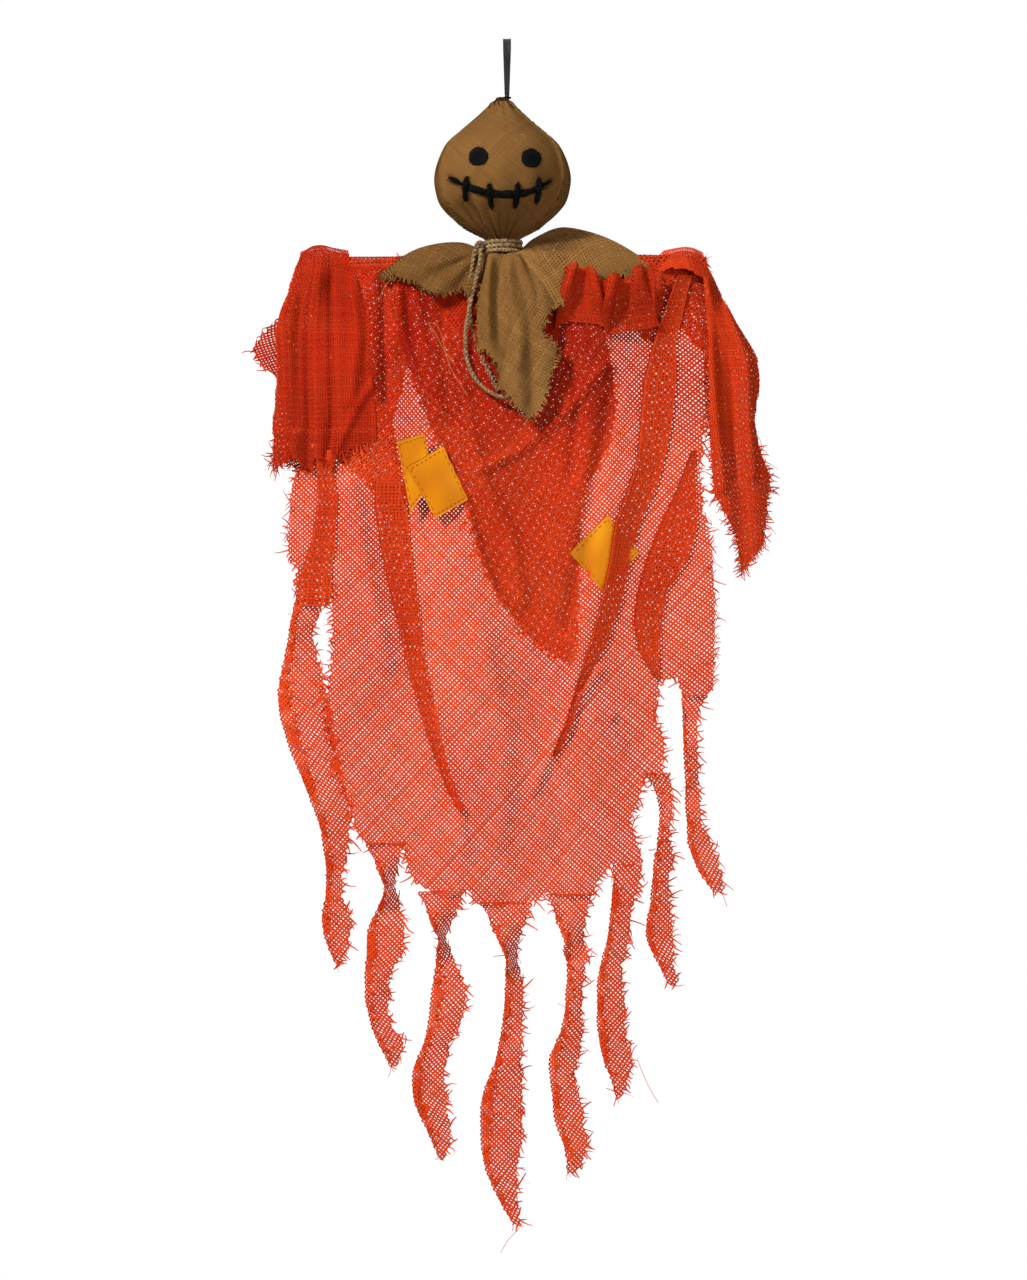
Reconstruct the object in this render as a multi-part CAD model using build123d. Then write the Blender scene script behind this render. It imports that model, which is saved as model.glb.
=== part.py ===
from build123d import *
import os
from math import atan2, cos, degrees, radians, sin, sqrt, tan

# A hanging scarecrow figure, in millimetres. +Z is up and the face looks along -Y.
# The origin is the top of the hanging loop. Left and right are as seen from the front.

# Frame
AXIS_X = -4.0            # the head and the neck stick stand on this line
BAR_Y, BAR_Z = 8.2, -179.5
DOWEL_R = 4.0
BAR_LEFT, BAR_RIGHT = -156.0, 150.0
STICK_TOP, STICK_FOOT = -118.0, -200.0

# Hanging loop and the two small sewn pieces that the figure swings on
RIBBON_WIDE, RIBBON_NARROW, RIBBON_THICK = 6.4, 3.9, 0.8
PIVOT_Z = -47.0
KNOT_R, KNOT_UP, KNOT_DOWN = 1.8, 2.6, 1.5
EYELET_R, EYELET_WIRE_R = 3.0, 0.5
TIP_CLEARANCE_R = 3.9

# Head: radius of the sack at each height, from the tip to the gathered neck
SACK = [(4.2, -46.6), (7.6, -51), (21, -64), (34, -75), (46.5, -87), (53.6, -107), (52, -123),
        (46.5, -135), (31, -150), (20, -156.5), (13.8, -160), (12.6, -163), (12.6, -167.5), (12.6, -172)]
SACK_THICK = 1.2
CORE_GAP = 0.4
CORE_TOP, CORE_FOOT = -58.0, -156.0
FACE_ANGLE = 120.0       # the face panel's share of the way round
SEAM_GAP = 0.5           # degrees
STICK_HOLE_R = 4.15

# Face
EYE_R, EYE_THICK = 7.5, 1.2
EYES = {"eye_left": (-22.4, -101.6), "eye_right": (18.9, -102.8)}
YARN_R = 1.8
SMILE = [(-44, -116.2), (-33, -123.5), (-19, -129.5), (-4.5, -132), (11, -131), (23, -127), (33.5, -119.7)]
STITCHES = [(-30.3, -126.5), (-12.9, -132.5), (7.3, -131.5), (24, -127.3)]
STITCH_WIDE, STITCH_TALL, STITCH_THICK = 3.6, 16.5, 1.3

# Twine
TWINE_R = 1.8
TIE_R = 15.0
TIE_HEIGHTS = [-163.4, -167.1, -170.8]
KNOT_CENTRE, KNOT_BALL_R = (-22.0, -12.5, -166.6), 4.1
TWINE_LOOP = [(-20.9, -16.5, -169.9), (-21, -19, -179.5), (-24, -16.8, -192), (-28.2, -13, -207.5),
              (-31.6, -11, -224), (-33.6, -11, -241), (-32.2, -11, -257.5), (-26.8, -11, -272),
              (-14.6, -11, -284), (0.6, -11, -288.8), (14.2, -11, -284.4), (22.2, -11, -272),
              (23.6, -11, -257), (20.6, -11, -241), (16, -11, -225), (11.6, -11, -209),
              (7.8, -11, -195), (5, -10.8, -183.5), (3.6, -10, -175)]
TWINE_END = [(-25.4, -13.9, -170.1), (-27.6, -13.6, -180.5), (-29.2, -10.6, -194.5), (-30.2, -7, -210),
             (-29.2, -5.4, -226.5), (-26.2, -5.4, -241.5), (-20.6, -5.4, -255.5), (-13.4, -5.4, -268.5),
             (-7.6, -5.4, -282)]

# Cloth thicknesses, and each draped layer's gap from the bar's middle
BURLAP, GAUZE, SATIN = 1.6, 1.6, 0.8
ROBE_GAP, SLEEVE_GAP, OUTER_GAP = 4.5, 6.6, 8.8
ROBE_Y = BAR_Y - ROBE_GAP - GAUZE    # the robe's front face
REAR_STEP = 0.3          # between the front and the rear layers at the top of the bar
NECK_NOTCH = (-27.0, 19.0, -206.0)   # left, right and foot of the slit round the neck

# Outlines seen from the front, as (X, Z)
ROBE = [(-156, -160), (-158, -330), (-176, -372), (-172, -434), (-129, -434), (-126, -560), (-122, -609),
        (-118, -638), (-79, -640), (-76, -678), (-30, -680), (-26, -689), (25, -689), (26, -683), (70, -683),
        (80, -660), (110, -659), (112, -623), (136, -622), (137, -525), (172, -521), (172, -481), (166, -433),
        (158, -393), (152, -321), (150, -160)]
ROBE_REAR = [(-86, -160), (-84, -290), (-56, -350), (-16, -412), (28, -464), (58, -484), (82, -420), (98, -330),
             (104, -160)]
LEFT_SLEEVE = [(-156, -160), (-168, -178), (-174, -198), (-187, -223), (-205, -245), (-194, -264), (-186, -268),
               (-184, -300), (-188, -343), (-170, -338), (-152, -346), (-132, -330), (-128, -160)]
RIGHT_SLEEVE = [(120, -160), (130, -250), (161, -262), (163, -364), (187, -397), (186, -430), (206, -404),
                (211, -347), (197, -309), (202, -256), (189, -234), (169, -198), (154, -160)]
LEFT_SLEEVE_BACK = [(-156, -160), (-172, -200), (-186, -258), (-178, -300), (-166, -338), (-140, -352),
                    (-112, -344), (-104, -300), (-98, -160)]
RIGHT_SLEEVE_BACK = [(112, -160), (122, -290), (140, -332), (158, -344), (182, -318), (192, -262), (176, -200),
                     (154, -160)]
LEFT_WING = [(-105, -186), (-75, -160), (-28, -160), (-28, -207), (-50, -202), (-63, -202), (-79, -193)]
RIGHT_WING = [(20, -160), (70, -160), (118, -184), (96, -190), (70, -194), (52, -206), (36, -222), (20, -216)]
REAR_COLLAR = [(-48, -182), (-60, -212), (-34, -240), (-6, -262), (26, -244), (54, -214), (40, -182)]
FLAP = [(-16, -176), (-19, -205), (-22, -241), (-8, -262), (3, -288), (21, -303), (36, -270), (41, -247),
        (30, -232), (30, -200), (12, -176)]
FLAP_Y = -17.5
# Each patch's outline, and how far its front face lies behind the robe's front face
PATCHES = {
    "patch_left_under": ([(-88, -324), (-80, -319), (-64, -334), (-66, -366), (-76, -378), (-84, -356)], -1.4),
    "patch_left_over": ([(-80, -343), (-51, -328), (-32, -368), (-57, -383)], -2.5),
    "patch_right": ([(80, -382), (51, -412), (76, -441), (105, -412)], 2.3)}

# Torn tails: (middle X, Z, width) from the root down
STRIPS = {
    "strip_1": [(-150.5, -436, 41), (-158, -480, 26), (-151, -560, 36), (-143, -640, 21), (-140, -700, 15),
                (-140, -742, 6)],
    "strip_2": [(-98.5, -641.5, 37), (-94, -678, 10), (-96, -735, 22), (-94, -790, 20), (-92, -830, 8)],
    "strip_3": [(-53.5, -682, 44), (-53, -722, 12), (-53, -775, 46), (-61, -830, 22), (-58, -900, 8)],
    "strip_4": [(-1, -691, 48), (6, -740, 12), (8, -800, 18), (1, -850, 30), (1, -900, 28), (6, -950, 8)],
    "strip_5": [(48, -685, 42), (54, -733, 14), (51, -800, 22), (53, -860, 24), (49, -912, 8)],
    "strip_6": [(95, -661.5, 29), (88, -723, 13), (93, -780, 24), (93, -847, 8)],
    "strip_7": [(126, -624, 18), (125, -680, 16), (129, -730, 17), (131, -759, 6)],
    "strip_8": [(155, -527, 30), (149, -582, 11), (156, -630, 16), (160, -665, 22), (168, -695, 6)]}


SACK_LINE = Spline(*[(r, 0, z) for r, z in SACK])


def save(shape, node):
    export_step(shape, f"parts/{node}.step")


def prism(outline, y_front, y_rear):
    """The solid whose front view is the outline, from y_front to y_rear."""
    face = make_face(Polyline(*[(x, y_front, z) for x, z in outline], close=True))
    return extrude(face, amount=y_rear - y_front, dir=(0, 1, 0))


def lathe(profile, angle=360.0, turned=0.0):
    """The profile, (radius, Z) corners with a smooth run through them, turned about the head's line."""
    edge = Spline(*[(r, 0, z) for r, z in profile])
    (first_r, first_z), (last_r, last_z) = profile[0], profile[-1]
    side = Polyline((last_r, 0, last_z), (0, 0, last_z), (0, 0, first_z), (first_r, 0, first_z))
    body = revolve(make_face([edge, side]), Axis.Z, angle)
    return Pos(AXIS_X, 0, 0) * Rot(0, 0, turned) * body


def sack_radius(z):
    """The sack's outside radius at a height, by halving along its profile."""
    low, high = 0.0, 1.0
    for _ in range(40):
        middle = (low + high) / 2
        low, high = (middle, high) if (SACK_LINE @ middle).Z > z else (low, middle)
    return (SACK_LINE @ low).X


def face_y(x, z, proud):
    """The Y of a point that stands proud of the face at X, Z."""
    return -sqrt((sack_radius(z) + proud) ** 2 - (x - AXIS_X) ** 2)


def cord(points, section, name, across=None):
    """A tube along straight runs joined by arcs as large as the runs allow. A flat one lies along across."""
    spots = [Vector(*p) for p in points]
    radii = []
    for before, here, after in zip(spots, spots[1:], spots[2:]):
        turn = radians((here - before).get_angle(after - here))
        radii.append(0.45 * min((here - before).length, (after - here).length) / tan(turn / 2))
    path = FilletPolyline(*spots, radius=radii)
    start = Plane(origin=path @ 0, x_dir=across, z_dir=path % 0)
    tube = sweep(start * section, path=path)
    share = tube.volume / (section.area * path.length)
    print(name, "length", round(path.length, 1), "radii", [round(r, 1) for r in radii], "volume", round(share, 3))
    return tube


def layer_profile(gap, thick):
    """Cloth over the crossbar: round the front of its top half, then straight down, seen from the side."""
    low = -1000.0
    edges, tops, feet = [], [], []
    for reach in (gap, gap + thick):
        slant = reach * sin(radians(45))
        top, front = (0, BAR_Y, BAR_Z + reach), (0, BAR_Y - reach, BAR_Z)
        foot = (0, BAR_Y - reach, low)
        edges.append(ThreePointArc(top, (0, BAR_Y - slant, BAR_Z + slant), front))
        edges.append(Line(front, foot))
        tops.append(top)
        feet.append(foot)
    return make_face([*edges, Line(*tops), Line(*feet)])


def draped(outline, gap, thick, rear=False):
    """A layer of cloth that hangs over the crossbar, cut to an outline, with the slit for the neck."""
    reach = 300.0
    side = layer_profile(gap, thick)
    sheet = extrude(side, amount=reach, dir=(1, 0, 0)) + extrude(side, amount=reach, dir=(-1, 0, 0))
    if rear:
        sheet = mirror(sheet, Plane(origin=(0, BAR_Y, 0), z_dir=(0, 1, 0)))
        sheet = Pos(0, REAR_STEP, 0) * sheet
    left, right, foot = NECK_NOTCH
    notch = prism([(left, foot), (right, foot), (right, 0), (left, 0)], -100, 100)
    return (sheet & prism(outline, -100, 100)) - notch


def tail_outline(sections):
    """The left edge down and the right edge back up."""
    left = [(x - width / 2, z) for x, z, width in sections]
    right = [(x + width / 2, z) for x, z, width in reversed(sections)]
    return left + right


def make_hanging():
    rise = PIVOT_Z + KNOT_UP
    route = [(0, -1.2, rise), (0, -3.6, -27), (0, -8.4, -9), (0, -4.1, -0.4), (0, 4.1, -0.4), (0, 8.4, -9),
             (0, 3.6, -27), (0, 1.2, rise)]
    ribbon = cord(route, Rectangle(RIBBON_WIDE, RIBBON_THICK), "hanging_loop", across=(1, 0, 0))
    top, foot = RIBBON_WIDE / 2, RIBBON_NARROW / 2
    taper = prism([(-top, 1), (top, 1), (top, -8), (foot, -40), (foot, -60), (-foot, -60), (-foot, -40),
                   (-top, -8)], -30, 30)
    above = prism([(-9, rise), (9, rise), (9, 5), (-9, 5)], -30, 30)
    save(ribbon & taper & above, "hanging_loop")
    knot = Pos(0, 0, PIVOT_Z + (KNOT_UP - KNOT_DOWN) / 2) * Cylinder(KNOT_R, KNOT_UP + KNOT_DOWN)
    save(knot, "loop_knot")
    save(Pos(0, 0, PIVOT_Z) * Torus(EYELET_R, EYELET_WIRE_R), "tip_eyelet")


def make_head():
    inner = [(r - SACK_THICK, z) for r, z in SACK]
    start = -90 - FACE_ANGLE / 2
    tip_room = Pos(0, 0, PIVOT_Z) * Sphere(TIP_CLEARANCE_R)
    for node, angle, turned in (("face_panel", FACE_ANGLE, start),
                                ("back_panel", 360 - FACE_ANGLE, start + FACE_ANGLE)):
        arc, first = angle - SEAM_GAP, turned + SEAM_GAP / 2
        save(lathe(SACK, arc, first) - lathe(inner) - tip_room, node)
    gap = SACK_THICK + CORE_GAP
    filling = lathe([(r - gap, z) for r, z in SACK])
    size = 200.0
    middle = (CORE_TOP + CORE_FOOT) / 2
    filling &= Pos(AXIS_X, 0, middle) * Box(size, size, CORE_TOP - CORE_FOOT)
    hole_top = STICK_TOP + 0.5
    hole = Pos(AXIS_X, 0, (hole_top + CORE_FOOT) / 2) * Cylinder(STICK_HOLE_R, hole_top - CORE_FOOT + 0.01)
    save(filling - hole, "head_core")


def make_tip_stitches():
    """Short thread stitches round the sack's tip, one solid each."""
    height, count = -54.0, 8
    radius = sack_radius(height) + 2.3
    stitches = []
    for step in range(count):
        turned = 360.0 * step / count + 22.5
        stitch = Pos(radius, 0, height) * Rot(0, 45, 0) * Box(0.9, 1.2, 2.6)
        stitches.append(Pos(AXIS_X, 0, 0) * Rot(0, 0, turned) * stitch)
    save(Compound(children=stitches), "tip_stitches")


def make_face_features():
    for node, (x, z) in EYES.items():
        bearing = degrees(atan2(face_y(x, z, 0), x - AXIS_X))
        away = sack_radius(z) + 1.2 + EYE_THICK / 2
        disc = Pos(away, 0, z) * Rot(0, 90, 0) * Cylinder(EYE_R, EYE_THICK)
        save(Pos(AXIS_X, 0, 0) * Rot(0, 0, bearing) * disc, node)
    proud = YARN_R + 0.9
    smile = [(x, face_y(x, z, proud), z) for x, z in SMILE]
    save(cord(smile, Circle(YARN_R), "mouth_line"), "mouth_line")
    bars = []
    for x, z in STITCHES:
        top_z = z + STITCH_TALL / 2
        bearing = degrees(atan2(face_y(x, top_z, 0), x - AXIS_X))
        away = sack_radius(top_z) + 2 * YARN_R + 1.4 + STITCH_THICK / 2
        bar = Pos(away, 0, z) * Box(STITCH_THICK, STITCH_WIDE, STITCH_TALL)
        bars.append(Pos(AXIS_X, 0, 0) * Rot(0, 0, bearing) * bar)
    save(Compound(children=bars), "mouth_stitches")


def make_cross():
    height = STICK_TOP - STICK_FOOT
    stick = Pos(AXIS_X, 0, (STICK_TOP + STICK_FOOT) / 2) * Cylinder(DOWEL_R, height)
    save(fillet(stick.edges().filter_by(GeomType.CIRCLE), 0.8), "neck_stick")
    bar = Pos((BAR_LEFT + BAR_RIGHT) / 2, BAR_Y, BAR_Z) * Rot(0, 90, 0) * Cylinder(DOWEL_R, BAR_RIGHT - BAR_LEFT)
    save(fillet(bar.edges().filter_by(GeomType.CIRCLE), 0.8), "crossbar")
    # Two slanted turns of twine that go round both dowels where they cross
    wire, gap = 1.6, 0.6
    depth = BAR_Y + 2 * DOWEL_R + gap
    across = 2 * DOWEL_R * sqrt(2) + wire + gap
    turn = Box(across + 2 * wire, depth + 2 * wire, wire) - Box(across, depth, wire)
    centre = Pos(AXIS_X, BAR_Y / 2, BAR_Z)
    lashing = centre * Rot(0, 45, 0) * turn + centre * Rot(0, -45, 0) * turn
    save(lashing, "cross_lashing")


def make_twine():
    rings = [Pos(AXIS_X, 0, z) * Torus(TIE_R, TWINE_R) for z in TIE_HEIGHTS]
    save(Compound(children=rings), "neck_tie")
    save(Pos(*KNOT_CENTRE) * Sphere(KNOT_BALL_R), "tie_knot")
    save(cord(TWINE_LOOP, Circle(TWINE_R), "twine_loop"), "twine_loop")
    save(cord(TWINE_END, Circle(TWINE_R), "twine_end"), "twine_end")


def make_collar():
    save(draped(LEFT_WING, OUTER_GAP, BURLAP), "collar_left")
    save(draped(RIGHT_WING, OUTER_GAP, BURLAP), "collar_right")
    save(draped(REAR_COLLAR, OUTER_GAP, BURLAP, rear=True), "collar_back")
    save(prism(FLAP, FLAP_Y, FLAP_Y + BURLAP), "collar_flap")


def make_robe():
    save(draped(ROBE, ROBE_GAP, GAUZE), "robe_front")
    save(draped(ROBE_REAR, ROBE_GAP, GAUZE, rear=True), "robe_back")
    save(draped(LEFT_SLEEVE, SLEEVE_GAP, GAUZE), "sleeve_left")
    save(draped(RIGHT_SLEEVE, SLEEVE_GAP, GAUZE), "sleeve_right")
    save(draped(LEFT_SLEEVE_BACK, OUTER_GAP, GAUZE, rear=True), "sleeve_left_back")
    save(draped(RIGHT_SLEEVE_BACK, OUTER_GAP, GAUZE, rear=True), "sleeve_right_back")
    for node, (outline, behind) in PATCHES.items():
        save(prism(outline, ROBE_Y + behind, ROBE_Y + behind + SATIN), node)
    for node, sections in STRIPS.items():
        save(prism(tail_outline(sections), ROBE_Y, ROBE_Y + GAUZE), node)


os.makedirs("parts", exist_ok=True)
make_hanging()
make_head()
make_tip_stitches()
make_face_features()
make_cross()
make_twine()
make_collar()
make_robe()
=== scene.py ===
import math
import random

import bpy
import numpy as np
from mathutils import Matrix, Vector


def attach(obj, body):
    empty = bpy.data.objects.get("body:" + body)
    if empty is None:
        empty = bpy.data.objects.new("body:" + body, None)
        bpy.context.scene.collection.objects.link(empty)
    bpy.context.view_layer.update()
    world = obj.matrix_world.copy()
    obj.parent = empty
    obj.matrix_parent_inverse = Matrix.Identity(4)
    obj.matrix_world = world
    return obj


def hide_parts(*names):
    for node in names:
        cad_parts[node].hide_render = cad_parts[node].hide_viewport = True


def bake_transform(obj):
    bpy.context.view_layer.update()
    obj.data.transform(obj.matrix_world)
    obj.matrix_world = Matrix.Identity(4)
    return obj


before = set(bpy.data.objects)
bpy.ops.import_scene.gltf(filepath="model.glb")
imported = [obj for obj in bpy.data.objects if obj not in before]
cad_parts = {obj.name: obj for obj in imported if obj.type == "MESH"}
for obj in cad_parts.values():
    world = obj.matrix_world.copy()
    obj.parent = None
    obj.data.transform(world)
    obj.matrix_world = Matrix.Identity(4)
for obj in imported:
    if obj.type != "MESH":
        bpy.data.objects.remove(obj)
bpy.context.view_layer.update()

# Blender's lengths are metres. Tables of places are in millimetres, and mm() or MM turns them into metres.
MM = 0.001
AXIS_X = -4 * MM                          # the head stands on this upright line
BAR_Y, BAR_Z = 8.2 * MM, -179.5 * MM      # the crossbar's middle
FACE_SPAN = math.radians(60)              # from the middle of the face to each side seam


def mm(points):
    """Millimetres as Blender's metres."""
    return np.array(points, float) * MM


# ---------------------------------------------------------------- materials

def linear(red, green, blue):
    """A colour given as 0 to 255 screen values, as Blender's linear values."""
    out = []
    for value in (red, green, blue):
        share = value / 255
        out.append(share / 12.92 if share <= 0.04045 else ((share + 0.055) / 1.055) ** 2.4)
    return (*out, 1.0)


STAIN_SCALE, SPECK_SCALE = 14, 130        # how fine the stains and the specks are
STAIN_SHARE = 0.55                        # how far the deepest stain goes
BUMP_DEPTH = 0.3 * MM


def fibre_material(name, dark, light, stain, roughness=0.95, sheen=0.0, grain=900, speck=None, bump=0.35,
                   gloss=0.1):
    """Cloth fibre: tone runs from dark to light, with soft stains, fine grain and odd specks."""
    material = bpy.data.materials.new(name)
    material.use_nodes = True
    nodes, links = material.node_tree.nodes, material.node_tree.links
    shader = nodes["Principled BSDF"]
    place = nodes.new("ShaderNodeTexCoord")
    tone = nodes.new("ShaderNodeAttribute")
    tone.attribute_name = "tone"

    def noise(scale, detail):
        node = nodes.new("ShaderNodeTexNoise")
        node.inputs["Scale"].default_value = scale
        node.inputs["Detail"].default_value = detail
        links.new(place.outputs["Object"], node.inputs["Vector"])
        return node.outputs["Fac"]

    def spread_out(value, low, high, top=1.0):
        node = nodes.new("ShaderNodeMapRange")
        node.inputs["From Min"].default_value = low
        node.inputs["From Max"].default_value = high
        node.inputs["To Max"].default_value = top
        links.new(value, node.inputs["Value"])
        return node.outputs["Result"]

    def mixed(factor, first, second):
        """Mixes from first, a colour or another node's output, to the colour second."""
        node = nodes.new("ShaderNodeMix")
        node.data_type = "RGBA"
        if isinstance(first, tuple):
            node.inputs["A"].default_value = first
        else:
            links.new(first, node.inputs["A"])
        node.inputs["B"].default_value = second
        links.new(factor, node.inputs["Factor"])
        return node.outputs["Result"]

    # The place between dark and light is the tone, lowered a little, and half of the fine grain
    fine = noise(grain, 3)
    lowered = nodes.new("ShaderNodeMath")
    lowered.operation = "SUBTRACT"
    lowered.inputs[1].default_value = 0.25
    links.new(tone.outputs["Fac"], lowered.inputs[0])
    grained = nodes.new("ShaderNodeMath")
    grained.operation = "MULTIPLY_ADD"
    grained.inputs[1].default_value = 0.5
    links.new(fine, grained.inputs[0])
    links.new(lowered.outputs[0], grained.inputs[2])
    colour = mixed(grained.outputs[0], dark, light)
    colour = mixed(spread_out(noise(STAIN_SCALE, 4), 0.45, 0.75, STAIN_SHARE), colour, stain)
    if speck:
        colour = mixed(spread_out(noise(SPECK_SCALE, 2), 0.72, 0.80), colour, speck)
    links.new(colour, shader.inputs["Base Color"])
    shader.inputs["Roughness"].default_value = roughness
    shader.inputs["Sheen Weight"].default_value = sheen
    shader.inputs["Specular IOR Level"].default_value = gloss
    rough = nodes.new("ShaderNodeBump")
    rough.inputs["Strength"].default_value = bump
    rough.inputs["Distance"].default_value = BUMP_DEPTH
    links.new(fine, rough.inputs["Height"])
    links.new(rough.outputs["Normal"], shader.inputs["Normal"])
    return material


GAUZE = fibre_material("gauze thread", linear(166, 26, 8), linear(252, 86, 34), linear(218, 50, 16),
                       speck=linear(252, 120, 76))
BURLAP = fibre_material("burlap thread", linear(84, 53, 22), linear(178, 128, 70), linear(132, 90, 44),
                        speck=linear(204, 154, 92))
LINING = fibre_material("sack lining", linear(44, 26, 12), linear(84, 54, 26), linear(60, 38, 18))
JUTE = fibre_material("jute twine", linear(96, 66, 38), linear(192, 160, 116), linear(150, 116, 78),
                      grain=1400, roughness=0.85)
FELT = fibre_material("black felt", linear(4, 4, 5), linear(26, 25, 25), linear(12, 12, 12),
                      speck=linear(84, 80, 78))
YARN = fibre_material("black yarn", linear(4, 4, 5), linear(22, 20, 20), linear(10, 10, 10))
RIBBON = fibre_material("ribbon", linear(10, 10, 12), linear(38, 38, 42), linear(22, 22, 25),
                        roughness=0.5, sheen=0.1, grain=2600, gloss=0.4)
SATIN = fibre_material("satin", linear(192, 92, 0), linear(250, 166, 0), linear(224, 122, 0),
                       roughness=0.45, grain=1600, bump=0.12, gloss=0.15)
WOOD = fibre_material("dowel wood", linear(168, 124, 76), linear(216, 178, 126), linear(190, 148, 96),
                      roughness=0.6, grain=500)


# ---------------------------------------------------------------- mesh helpers

def make_piece(name, verts, faces, material, body, tone=None):
    """A smooth mesh object that rides on a body. tone is one value for each vertex."""
    mesh = bpy.data.meshes.new(name)
    mesh.from_pydata(np.asarray(verts).tolist(), [], faces if isinstance(faces, list) else faces.tolist())
    mesh.materials.append(material)
    mesh.polygons.foreach_set("use_smooth", [True] * len(mesh.polygons))
    shade = mesh.attributes.new("tone", "FLOAT", "POINT")
    values = np.full(len(verts), 0.5) if tone is None else np.asarray(tone)
    shade.data.foreach_set("value", values.astype(np.float32))
    mesh.validate()
    piece = bpy.data.objects.new(name, mesh)
    bpy.context.collection.objects.link(piece)
    if body:
        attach(piece, body)
    return piece


def grid_faces(rows, columns, closed=False):
    """Four-cornered faces between neighbouring points of a grid that is stored row by row."""
    last = columns if closed else columns - 1
    down, across = np.meshgrid(np.arange(rows - 1), np.arange(last), indexing="ij")
    beside = (across + 1) % columns
    faces = np.stack([down * columns + across, down * columns + beside,
                      (down + 1) * columns + beside, (down + 1) * columns + across], axis=-1)
    return faces.reshape(-1, 4)


def end_caps(corners, count):
    """The two faces that close a strand of count points, with corners points in each ring."""
    return [list(range(corners - 1, -1, -1)), list(range(count - corners, count))]


def unit(vectors):
    """The vectors with a length of one."""
    return vectors / np.maximum(np.linalg.norm(vectors, axis=-1, keepdims=True), 1e-12)


def travelled_along(line):
    """How far each point of a line is from its first."""
    return np.concatenate([[0], np.cumsum(np.linalg.norm(np.diff(line, axis=0), axis=1))])


def with_ends(rows):
    """The rows and one more before the first and after the last, straight on."""
    return np.concatenate([2 * rows[:1] - rows[1:2], rows, 2 * rows[-1:] - rows[-2:-1]])


def catmull(share):
    """The weights of the four points round a place, for a smooth line through them all."""
    s = share
    return [(-s ** 3 + 2 * s ** 2 - s) / 2, (3 * s ** 3 - 5 * s ** 2 + 2) / 2,
            (-3 * s ** 3 + 4 * s ** 2 + s) / 2, (s ** 3 - s ** 2) / 2]


class Drape:
    """A smooth surface through rows of points X, Y, Z. Its columns and rows lie at given cloth distances."""

    def __init__(self, rows, across, down):
        grid = with_ends(mm(rows)).swapaxes(0, 1)
        self.grid = with_ends(grid).swapaxes(0, 1)
        self.across, self.down = mm(across), mm(down)
        self.size = (self.across[-1] / MM, self.down[-1] / MM)

    def __call__(self, u, v):
        column = np.interp(u, self.across, np.arange(len(self.across)))
        row = np.interp(v, self.down, np.arange(len(self.down)))
        left = np.minimum(column.astype(int), len(self.across) - 2)
        top = np.minimum(row.astype(int), len(self.down) - 2)
        along, below = catmull(column - left), catmull(row - top)
        place = 0
        for a in range(4):
            for b in range(4):
                place = place + (below[a] * along[b])[..., None] * self.grid[top + a, left + b]
        return place


def inside(outline, x, z):
    """Which of the points x, z lie in the outline."""
    corners = np.array(outline, float) * MM
    held = np.zeros(x.shape, bool)
    for (x1, z1), (x2, z2) in zip(corners, np.roll(corners, -1, axis=0)):
        if z1 == z2:
            continue
        crosses = (z1 > z) != (z2 > z)
        held ^= crosses & (x < (x2 - x1) * (z - z1) / (z2 - z1) + x1)
    return held


def distance_to(line, x, z):
    """How far each point is from a line of X, Z corners."""
    corners = np.array(line, float) * MM
    nearest = np.full(x.shape, 9.0)
    for (x1, z1), (x2, z2) in zip(corners, corners[1:]):
        run = (x2 - x1) ** 2 + (z2 - z1) ** 2
        share = np.clip(((x - x1) * (x2 - x1) + (z - z1) * (z2 - z1)) / run, 0, 1)
        gap = np.hypot(x - x1 - share * (x2 - x1), z - z1 - share * (z2 - z1))
        nearest = np.minimum(nearest, gap)
    return nearest


def ripple(x, z, seed, size=0.03):
    """Slow irregular waves from -1 to 1."""
    turn = random.Random(seed)
    total = 0
    for step in range(1, 4):
        ax, az, shift = turn.uniform(0.6, 1.4), turn.uniform(-1, 1), turn.uniform(0, 6.28)
        total = total + np.sin(step * (ax * x + az * z) / size * 2 + shift) / step
    return total / 1.9


# ---------------------------------------------------------------- weaving

class Threads:
    """Flat crowned threads, gathered into one mesh."""

    def __init__(self):
        self.verts, self.faces, self.tones, self.count = [], [], [], 0

    def add(self, points, normals, sides, halves, crown, tone):
        """One thread through points. sides point across it, and halves are half its width."""
        number = len(points)
        reach = sides * np.asarray(halves)[:, None]
        verts = np.stack([points - reach, points + normals * crown, points + reach], axis=1)
        self.verts.append(verts.reshape(-1, 3))
        self.faces.append(grid_faces(number, 3) + self.count)
        self.tones.append(np.repeat(np.broadcast_to(tone, number), 3))
        self.count += 3 * number

    def piece(self, name, material, body, slot):
        verts, faces = np.concatenate(self.verts), np.concatenate(self.faces)
        return make_piece(name, verts, faces, material, body, np.clip(np.concatenate(self.tones), 0, 1))


def loose_end(end, along, length, step, dice):
    """The points of a frayed end that leaves the cloth at end, curls a little and droops."""
    count = max(2, int(length / step))
    heading = along + 0.5 * dice.normal(size=3) * np.array([1, 0.8, 1])
    curl = 0.26 * dice.normal(size=3)
    points, here = [], end
    for _ in range(count):
        heading = unit(heading + curl + np.array([0, 0, -0.07]))
        here = here + heading * step
        points.append(here)
    return np.array(points)


def runs(held):
    """The first and last index of each unbroken run of at least two held places."""
    edge = np.flatnonzero(np.diff(np.concatenate([[0], held.astype(int), [0]])))
    return [(a, b) for a, b in zip(edge[::2], edge[1::2]) if b - a >= 2]


CROWN, LIFT = 0.22, 0.16          # a thread's thickness and its rise at a crossing, as shares of its width
THREAD_RANGE = (0.86, 1.1)        # how much the threads differ in width, as shares of it
SLUB_RANGE = (0.88, 1.12)         # how much one thread's width varies along it
SQUEEZE = (0.3, 1.08)             # the most that a thread narrows and widens as its neighbours come and go
FRAY_STEP = 1.1                   # between a frayed end's points, as a share of the pitch
FRAY_TAPER = (0.8, 0.42)          # a frayed end's width at its root and its tip, as shares of the thread's
FRAY_TONE = 0.15                  # how much lighter a frayed end is


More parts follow.
